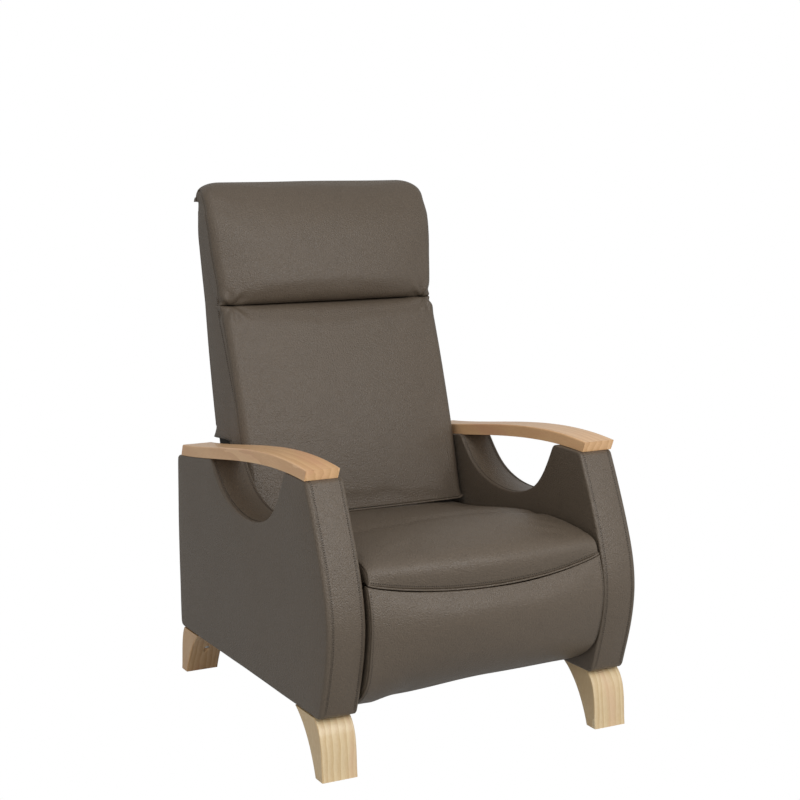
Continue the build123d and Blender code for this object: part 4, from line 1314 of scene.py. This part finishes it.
@dataclass
class Back:
    """The backrest: lower cushion, head pillow, leather cover with its hem, and dust lining.

    front and pillow give height, front edge at the sides and share of the crown. side_seam gives height and
    place of the seam between cover and cushions. The cover ends at band_foot, and proud tells how far it
    stands off the cushions.
    """

    bottom: float = 412.0
    seam: float = 891.0
    top: float = 1176.0
    band_foot: float = 1131.0
    line_bottom: float = 668.0
    line_top: float = 852.0
    half_bottom: float = 274.0
    half_seam: float = 277.0
    half_top: float = 291.0
    corner: float = 37.0
    fullness: float = 3.0
    pillow_fullness: float = 5.0
    pucker_depth: float = 2.2
    crown: float = 24.0
    pillow_crown: float = 34.0
    rear_bottom: float = 752.0
    rear_middle: float = 835.0
    rear_top: float = 878.0
    rear_top_height: float = 1135.0
    hem_height: float = 575.0
    hem_reach: float = 26.0
    cover_proud: float = 2.5
    rear_proud: float = 1.5
    cover_corner: float = 9.0
    cover_thickness: float = 2.4
    cover_rows: int = 64
    hem_shares: tuple[float, ...] = (1.0, 0.55, 0.2)
    hem_drop: float = 6.0
    lining_inset: float = 2.5
    lining_thickness: float = 1.5
    front_count: int = 100
    front: tuple[tuple[float, float, float], ...] = (
        (412.0, 566.0, 0.25), (474.0, 584.0, 0.6), (584.0, 617.0, 0.85), (699.0, 656.0, 1.0), (824.0, 704.0, 0.85),
        (868.0, 722.0, 0.7), (884.0, 731.0, 0.5), (891.2, 741.0, 0.35))
    pillow: tuple[tuple[float, float, float], ...] = (
        (891.3, 752.0, 0.3), (899.0, 744.0, 0.45), (924.0, 740.0, 0.8), (991.0, 752.0, 1.0), (1068.0, 767.0, 0.85),
        (1133.0, 794.0, 0.5), (1165.0, 820.0, 0.22), (1178.0, 846.0, 0.05), (1177.0, 866.0, 0.0), (1160.0, 878.0, 0.0),
        (1130.0, 883.5, 0.0))
    side_seam: tuple[Point, ...] = ((412.0, 585.0), (500.0, 608.0), (584.0, 634.0), (665.0, 664.0), (744.0, 700.0),
                                    (824.0, 738.0), (875.0, 760.0), (959.0, 764.0), (1043.0, 772.0), (1105.0, 788.0),
                                    (1133.0, 806.0))

    def line(self, z: np.ndarray) -> np.ndarray:
        """Where the cushions end and the frame begins, at a height."""
        return self.line_bottom + (self.line_top - self.line_bottom) * (z - self.bottom) / (self.top - self.bottom)

    def frame_half(self, z: float | np.ndarray) -> float | np.ndarray:
        """Half the back's width at a height, without the cushions' fullness."""
        return np.interp(z, [self.bottom, self.seam, self.top], [self.half_bottom, self.half_seam, self.half_top])

    def half(self, z: np.ndarray) -> np.ndarray:
        """Half the cushions' width at a height, with round upper corners."""
        full = smooth_step(z, self.seam, self.seam + 150.0)
        full = full * (1 - 0.85 * smooth_step(z, self.band_foot - 40.0, self.band_foot))
        width = self.frame_half(z) + self.fullness
        width = width + self.pillow_fullness * full
        into = np.clip(self.corner - (self.top + 3.0 - z), 0, self.corner)
        return width - (self.corner - np.sqrt(np.maximum(0.0, self.corner**2 - into**2)))

    def section(self, rows: Sequence[tuple[float, float, float]], crown: float, share: float) -> np.ndarray:
        """A cushion's side view as a ring of places.

        Args:
            rows: height, front edge at the sides, and share of the crown.
            crown: how far it bulges in the middle.
            share: place across the back.

        Returns:
            The ring, up its front and down its rear.
        """
        full = 1 - abs(share) ** 2.4
        front = [(y - crown * part * full, z) for z, y, part in rows]
        head, foot = front[-1], front[0]
        inner = lambda z: (float(self.line(np.array([z]))[0]), z)
        if head[1] < self.top - 60:
            rest = [straight(head, inner(head[1]), 8)[1:], straight(inner(head[1]), inner(foot[1]), 40)[1:]]
        else:
            ledge = (head[0] - 3.0, self.band_foot)
            rest = [straight(head, ledge, 4)[1:], straight(ledge, inner(self.band_foot), 6)[1:],
                    straight(inner(self.band_foot), inner(foot[1]), 30)[1:]]
        return np.concatenate([smooth_through(front, self.front_count), *rest, straight(inner(foot[1]), foot, 8)[1:-1]])

    def cushions(self) -> list[Cushion]:
        """The lower cushion and the head pillow, ready to be filled."""
        made = []
        for name, rows, crown, roll in (("back_leather", self.front, self.crown, 17.0),
                                        ("pillow_leather", self.pillow, self.pillow_crown, 19.0)):
            section = lambda share, rows=rows, crown=crown: self.section(rows, crown, share)
            firm = np.zeros(len(section(0.0)))
            firm[:self.front_count] = 1.0
            firm[:5] = np.linspace(0.5, 1, 5)
            rests = lambda p: (p[:, 1] > self.line(p[:, 2]) - 4) & (p[:, 2] < self.band_foot + 2)
            made.append(Cushion(name, self.half, section, firm, rests, (1, self.front_count - 1), roll=roll,
                                end_crown=0.5, columns=76))
        return made

    def rear(self, z: np.ndarray) -> np.ndarray:
        """Place of the cover's rear at a height."""
        heights = np.array([self.bottom, (self.bottom + self.rear_top_height) / 2, self.rear_top_height])
        places = np.array([self.rear_bottom, self.rear_middle, self.rear_top])
        return smooth_values(heights, places, np.clip(z, self.bottom, self.rear_top_height))

    def closing(self, z: float | np.ndarray) -> tuple[float | np.ndarray, float | np.ndarray]:
        """How the cover closes on the pillow at its top.

        Args:
            z: height.

        Returns:
            How far it is drawn in, and the radius of its rear corners.
        """
        return (1.2 * smooth_step(z, self.band_foot - 24.0, self.band_foot),
                self.cover_corner + 16.0 * smooth_step(z, self.band_foot - 90.0, self.band_foot))

    def level(self, z: float, inset: float, corner: float, front: float) -> np.ndarray:
        """A level ring round the rear of the back, open to the cushions.

        Args:
            z: height.
            inset: how far it is drawn in.
            corner: radius of its rear corners.
            front: where its sides begin.

        Returns:
            Places (X, Y, Z) from the right front edge round the rear to the left front edge.
        """
        half = float(self.frame_half(z)) + (self.cover_proud - inset)
        rear = float(self.rear(np.array([z]))[0]) + self.rear_proud - inset
        run = np.linspace(0, 1, 26)
        belly = 1.2 * np.sin(run * math.pi)
        side = np.column_stack([half + belly, front + (rear - corner - front) * run])
        bend = np.array([(half - corner * (1 - math.cos(a)), rear - corner * (1 - math.sin(a)))
                         for a in np.radians(np.linspace(0, 90, 8))])
        share = np.linspace(0, 1, 36)
        across = np.column_stack([(half - corner) * (1 - share), rear + 3.0 * np.sin(share * math.pi / 2)])
        right = np.concatenate([side, bend[1:], across[1:]])
        left = right[::-1][1:] * np.array([-1, 1])
        flat = np.concatenate([right, left])
        return np.column_stack([flat, np.full(len(flat), z)])

    def wrap(self, name: str, rings: Sequence[np.ndarray], thickness: float) -> bpy.types.Object:
        """Makes a sheet with thickness through rings.

        Args:
            name: the piece's name.
            rings: level rings from bottom to top.
            thickness: thickness of the sheet in millimetres.

        Returns:
            The piece.
        """
        count, inner = len(rings[0]), []
        centre = np.array([0.0, 700.0])
        for ring in rings:
            ahead = np.gradient(ring[:, :2], axis=0)
            turn = np.stack([-ahead[:, 1], ahead[:, 0]], 1)
            turn /= np.maximum(np.linalg.norm(turn, axis=1, keepdims=True), 1e-9)
            turn *= np.where(np.sum(turn * (centre - ring[:, :2]), axis=1) < 0, -1.0, 1.0)[:, None]
            inner.append(np.column_stack([ring[:, :2] + turn * thickness, ring[:, 2]]))
        layers = [np.concatenate([ring, back[::-1]]) for ring, back in zip(rings, inner)]
        faces = band_faces(len(layers), count * 2)
        for base in (0, (len(layers) - 1) * count * 2):
            last = base + 2 * count - 1
            faces += [(base + c, base + c + 1, last - 1 - c, last - c) for c in range(count - 1)]
        return make_object(name, np.concatenate(layers), faces)

    def pucker(self, piece: bpy.types.Object) -> None:
        """Gathers a cushion's leather in short folds that fan out from both ends of the seam between the cushions."""
        mesh = piece.data
        spots, normals = from_metres(vertex_places(mesh)), vertex_normals(mesh)
        for sign in (-1, 1):
            along = sign * spots[:, 0] - (self.half_seam - 22.0)
            above = spots[:, 2] - self.seam
            near = np.exp(-((np.hypot(along, above) - 24.0) / 17.0) ** 2) * (spots[:, 1] < 790)
            depth = self.pucker_depth * near * np.cos(np.arctan2(above, -along) * 6.0 + sign)
            spots += normals * depth[:, None]
        mesh.vertices.foreach_set("co", to_metres(spots).ravel())
        mesh.update()

    def finish(self, shop: Workshop, cushions: Sequence[Cushion], pieces: Sequence[bpy.types.Object]) -> None:
        """Sews and dresses the cushions, and adds the cover, its hem and the lining.

        Args:
            shop: finishes and tools.
            cushions: the cushions' patterns.
            pieces: the filled cushions, lower one first.
        """
        for piece, cushion, node in zip(pieces, cushions, ("back_cushion", "head_pillow")):
            undulate(piece, 1.2, 160.0, 2.0 + cushion.roll)
            self.pucker(piece)
            draw_in(piece, cushion)
            shop.keep(piece, "back", "leather", shop.finishes.leather, [node], 0.8)
        given = np.array(self.side_seam)
        seam_z = np.linspace(self.bottom, given[-1, 0], 90)
        seam_y = smooth_values(given[:, 0], given[:, 1], seam_z)
        seam_at = lambda z: float(np.interp(z, seam_z, seam_y))
        rings = [self.level(z, *self.closing(z), seam_at(z) + 1.0)
                 for z in np.linspace(self.hem_height, self.band_foot, self.cover_rows)]
        for ring, share in zip(rings, self.hem_shares):
            behind = np.clip((ring[:, 1] - 735.0) / 40.0, 0, 1)
            ring[:, 1] += behind * self.hem_reach * share
            ring[:, 2] -= behind * self.hem_drop * share
        cover = self.wrap("back_cover_leather", rings, self.cover_thickness)
        undulate(cover, 0.8, 140.0, 21.0)
        shop.keep(cover, "back", "leather", shop.finishes.leather, ["back_cover"])
        skirt = [self.level(z, self.lining_inset, self.cover_corner, seam_at(z) + 4.0)
                 for z in np.linspace(self.bottom, self.hem_height + 12, 18)]
        lining = self.wrap("back_lining_cloth", skirt, self.lining_thickness)
        shop.keep(lining, "back", "lining", shop.finishes.lining, ["back_lining"])
        keep = (seam_z > self.hem_height + 2) & (seam_z < self.band_foot - 8.0)
        heights, seam_y = seam_z[keep], seam_y[keep]
        half = self.frame_half(heights) + self.cover_proud
        drawn, radius = self.closing(heights)
        within = drawn + radius * 0.293 - 0.5
        rear = self.rear(heights) + self.rear_proud - within
        for word, sign in (("left", -1), ("right", 1)):
            path = np.column_stack([sign * half, seam_y + 5.0, heights])
            shop.sew(cover, f"back_stitches_{word}", "back", path[:-1], pitch=4.6, length=3.0)
            edge = np.column_stack([sign * (half - within), rear, heights])[2:-1]
            shop.welt(f"back_rear_welt_{word}", "back", edge, np.tile((float(sign), 1.0, 0.0), (len(edge), 1)), 1.9)
        foot = respaced(cushions[0].along(0), 150)
        shop.welt("back_foot_welt", "back", foot, np.tile((0.0, -1.0, -0.6), (len(foot), 1)), 2.2)


@dataclass(frozen=True)
class Woodwork:
    """The rigid nodes that keep their CAD shape, each with the finish of the first word that its name holds."""

    # The rear legs take the leg wood with painted shade.
    kinds: tuple[tuple[str, str], ...] = (
        ("armrest_dowels", "hidden_wood"), ("armrest_", "armrest"), ("front_leg_", "leg"), ("rear_leg_", "rear_leg"),
        ("webbing", "webbing"), ("rear_apron", "leather"), ("cross_rail_bolts", "steel"), ("board", "hidden_wood"),
        ("spacer", "hidden_wood"), ("rail", "hidden_wood"), ("", "steel"))

    def build(self, finishes: Finishes, nodes: dict[str, bpy.types.Object]) -> None:
        """Dresses every node.

        Args:
            finishes: the chair's finishes.
            nodes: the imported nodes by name.
        """
        for name, node in nodes.items():
            dress(node, getattr(finishes, next(finish for word, finish in self.kinds if word in name)))


# Stage

@dataclass
class Studio:
    """Pale floor, soft lamps, white surroundings, and the camera at the photograph's viewpoint.

    A lamp has a name, a place, a size, a power and a point that it aims at. turn, tilt and roll are in
    radians, focal in pixels of a frame of picture pixels, and place in millimetres.
    """

    reach: float = 30.0
    floor: Colour = (0.55, 0.55, 0.54)
    ambient: Colour = (1.0, 0.97, 0.92)
    ambient_strength: float = 0.4
    lamps: tuple[tuple[str, tuple, float, float, tuple], ...] = (
        ("key", (0.2, -2.5, 1.9), 1.5, 34.0, (0, 0, 0.6)), ("left_fill", (-3.0, -2.4, 1.7), 2.0, 14.0, (0, 0, 0.6)),
        ("right_fill", (2.8, -2.2, 1.5), 1.6, 10.0, (0, 0, 0.6)), ("top", (-0.9, -1.0, 3.2), 1.6, 12.0, (0, 0, 0.5)))
    turn: float = -0.481494972
    tilt: float = 0.160708064
    roll: float = 0.000938593
    focal: float = 1626.73
    picture: int = 800
    sensor: float = 36.0
    place: tuple[float, float, float] = (-1671.47, -2826.35, 1286.60)

    def build(self) -> None:
        """Builds the floor, the surroundings, the lamps and the camera."""
        mesh = bpy.data.meshes.new("floor")
        spots = [(self.reach * x, self.reach * y, 0) for x, y in ((-1, -1), (1, -1), (1, 1), (-1, 1))]
        mesh.from_pydata(spots, [], [(0, 1, 2, 3)])
        floor = placed("floor", mesh)
        kit = Finishing("pale_floor")
        white = kit.node("ShaderNodeEmission", {}, {"Color": (1, 1, 1), "Strength": 1.0})
        matte = kit.node("ShaderNodeBsdfPrincipled", {}, {"Base Color": self.floor, "Roughness": 0.9})
        both = kit.node("ShaderNodeMixShader", {}, {0: kit.seen(), 1: matte, 2: white})
        kit.node("ShaderNodeOutputMaterial", {}, {"Surface": both}, None)
        dress(floor, kit.material)
        world = bpy.data.worlds.new("studio")
        world.use_nodes = True
        bpy.context.scene.world = world
        sky = Tree(world.node_tree)
        soft = sky.node("ShaderNodeBackground", {}, {"Color": self.ambient, "Strength": self.ambient_strength})
        white = sky.node("ShaderNodeBackground", {}, {"Color": (1, 1, 1), "Strength": 1.0})
        both = sky.node("ShaderNodeMixShader", {}, {0: sky.seen(), 1: soft, 2: white})
        sky.node("ShaderNodeOutputWorld", {}, {"Surface": both}, None)
        for name, spot, size, power, aim in self.lamps:
            lamp = bpy.data.lights.new(name, "AREA")
            lamp.shape, lamp.size, lamp.energy = "SQUARE", size, power
            holder = placed(name, lamp)
            holder.location = spot
            holder.rotation_euler = (Vector(aim) - Vector(spot)).to_track_quat("-Z", "Y").to_euler()
        bpy.context.scene.view_settings.view_transform = "Standard"
        self.aim_camera()

    def aim_camera(self) -> None:
        """Sets the camera at the viewpoint worked out from the photograph."""
        level = math.cos(self.tilt)
        back = Vector((math.sin(self.turn) * level, -math.cos(self.turn) * level, math.sin(self.tilt)))
        right = (-back).cross(Vector((0, 0, 1))).normalized()
        up = right.cross(-back)
        lean, straight_up = math.sin(self.roll), math.cos(self.roll)
        right, up = right * straight_up + up * lean, up * straight_up - right * lean
        lens = bpy.data.cameras.new("camera")
        lens.sensor_width, lens.lens = self.sensor, self.sensor * self.focal / self.picture
        lens.clip_end = 100
        camera = placed("camera", lens)
        x, y, z = self.place
        place = Vector((x, y + CHAIR_SHIFT, z)) * MM
        camera.matrix_world = Matrix.Translation(place) @ Matrix((right, up, back)).transposed().to_4x4()
        bpy.context.scene.camera = camera


def main() -> None:
    """Builds every piece of the chair in order."""
    logging.basicConfig(level=logging.INFO, format="%(message)s")
    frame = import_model()
    Studio().build()
    finishes = Finishes()
    shop = Workshop(finishes, Stitching(finishes.thread))
    Woodwork().build(finishes, frame["nodes"])
    for side in Side:
        Arm(side).build(shop)
    seat, back = Seat(), Back()
    cushions = seat.cushions() + back.cushions()
    pieces = [cushion.build() for cushion in cushions]
    Stuffing().fill(cushions, pieces)
    seat.finish(shop, cushions[:2], pieces[:2])
    back.finish(shop, cushions[2:], pieces[2:])


if __name__ == "__main__":
    main()
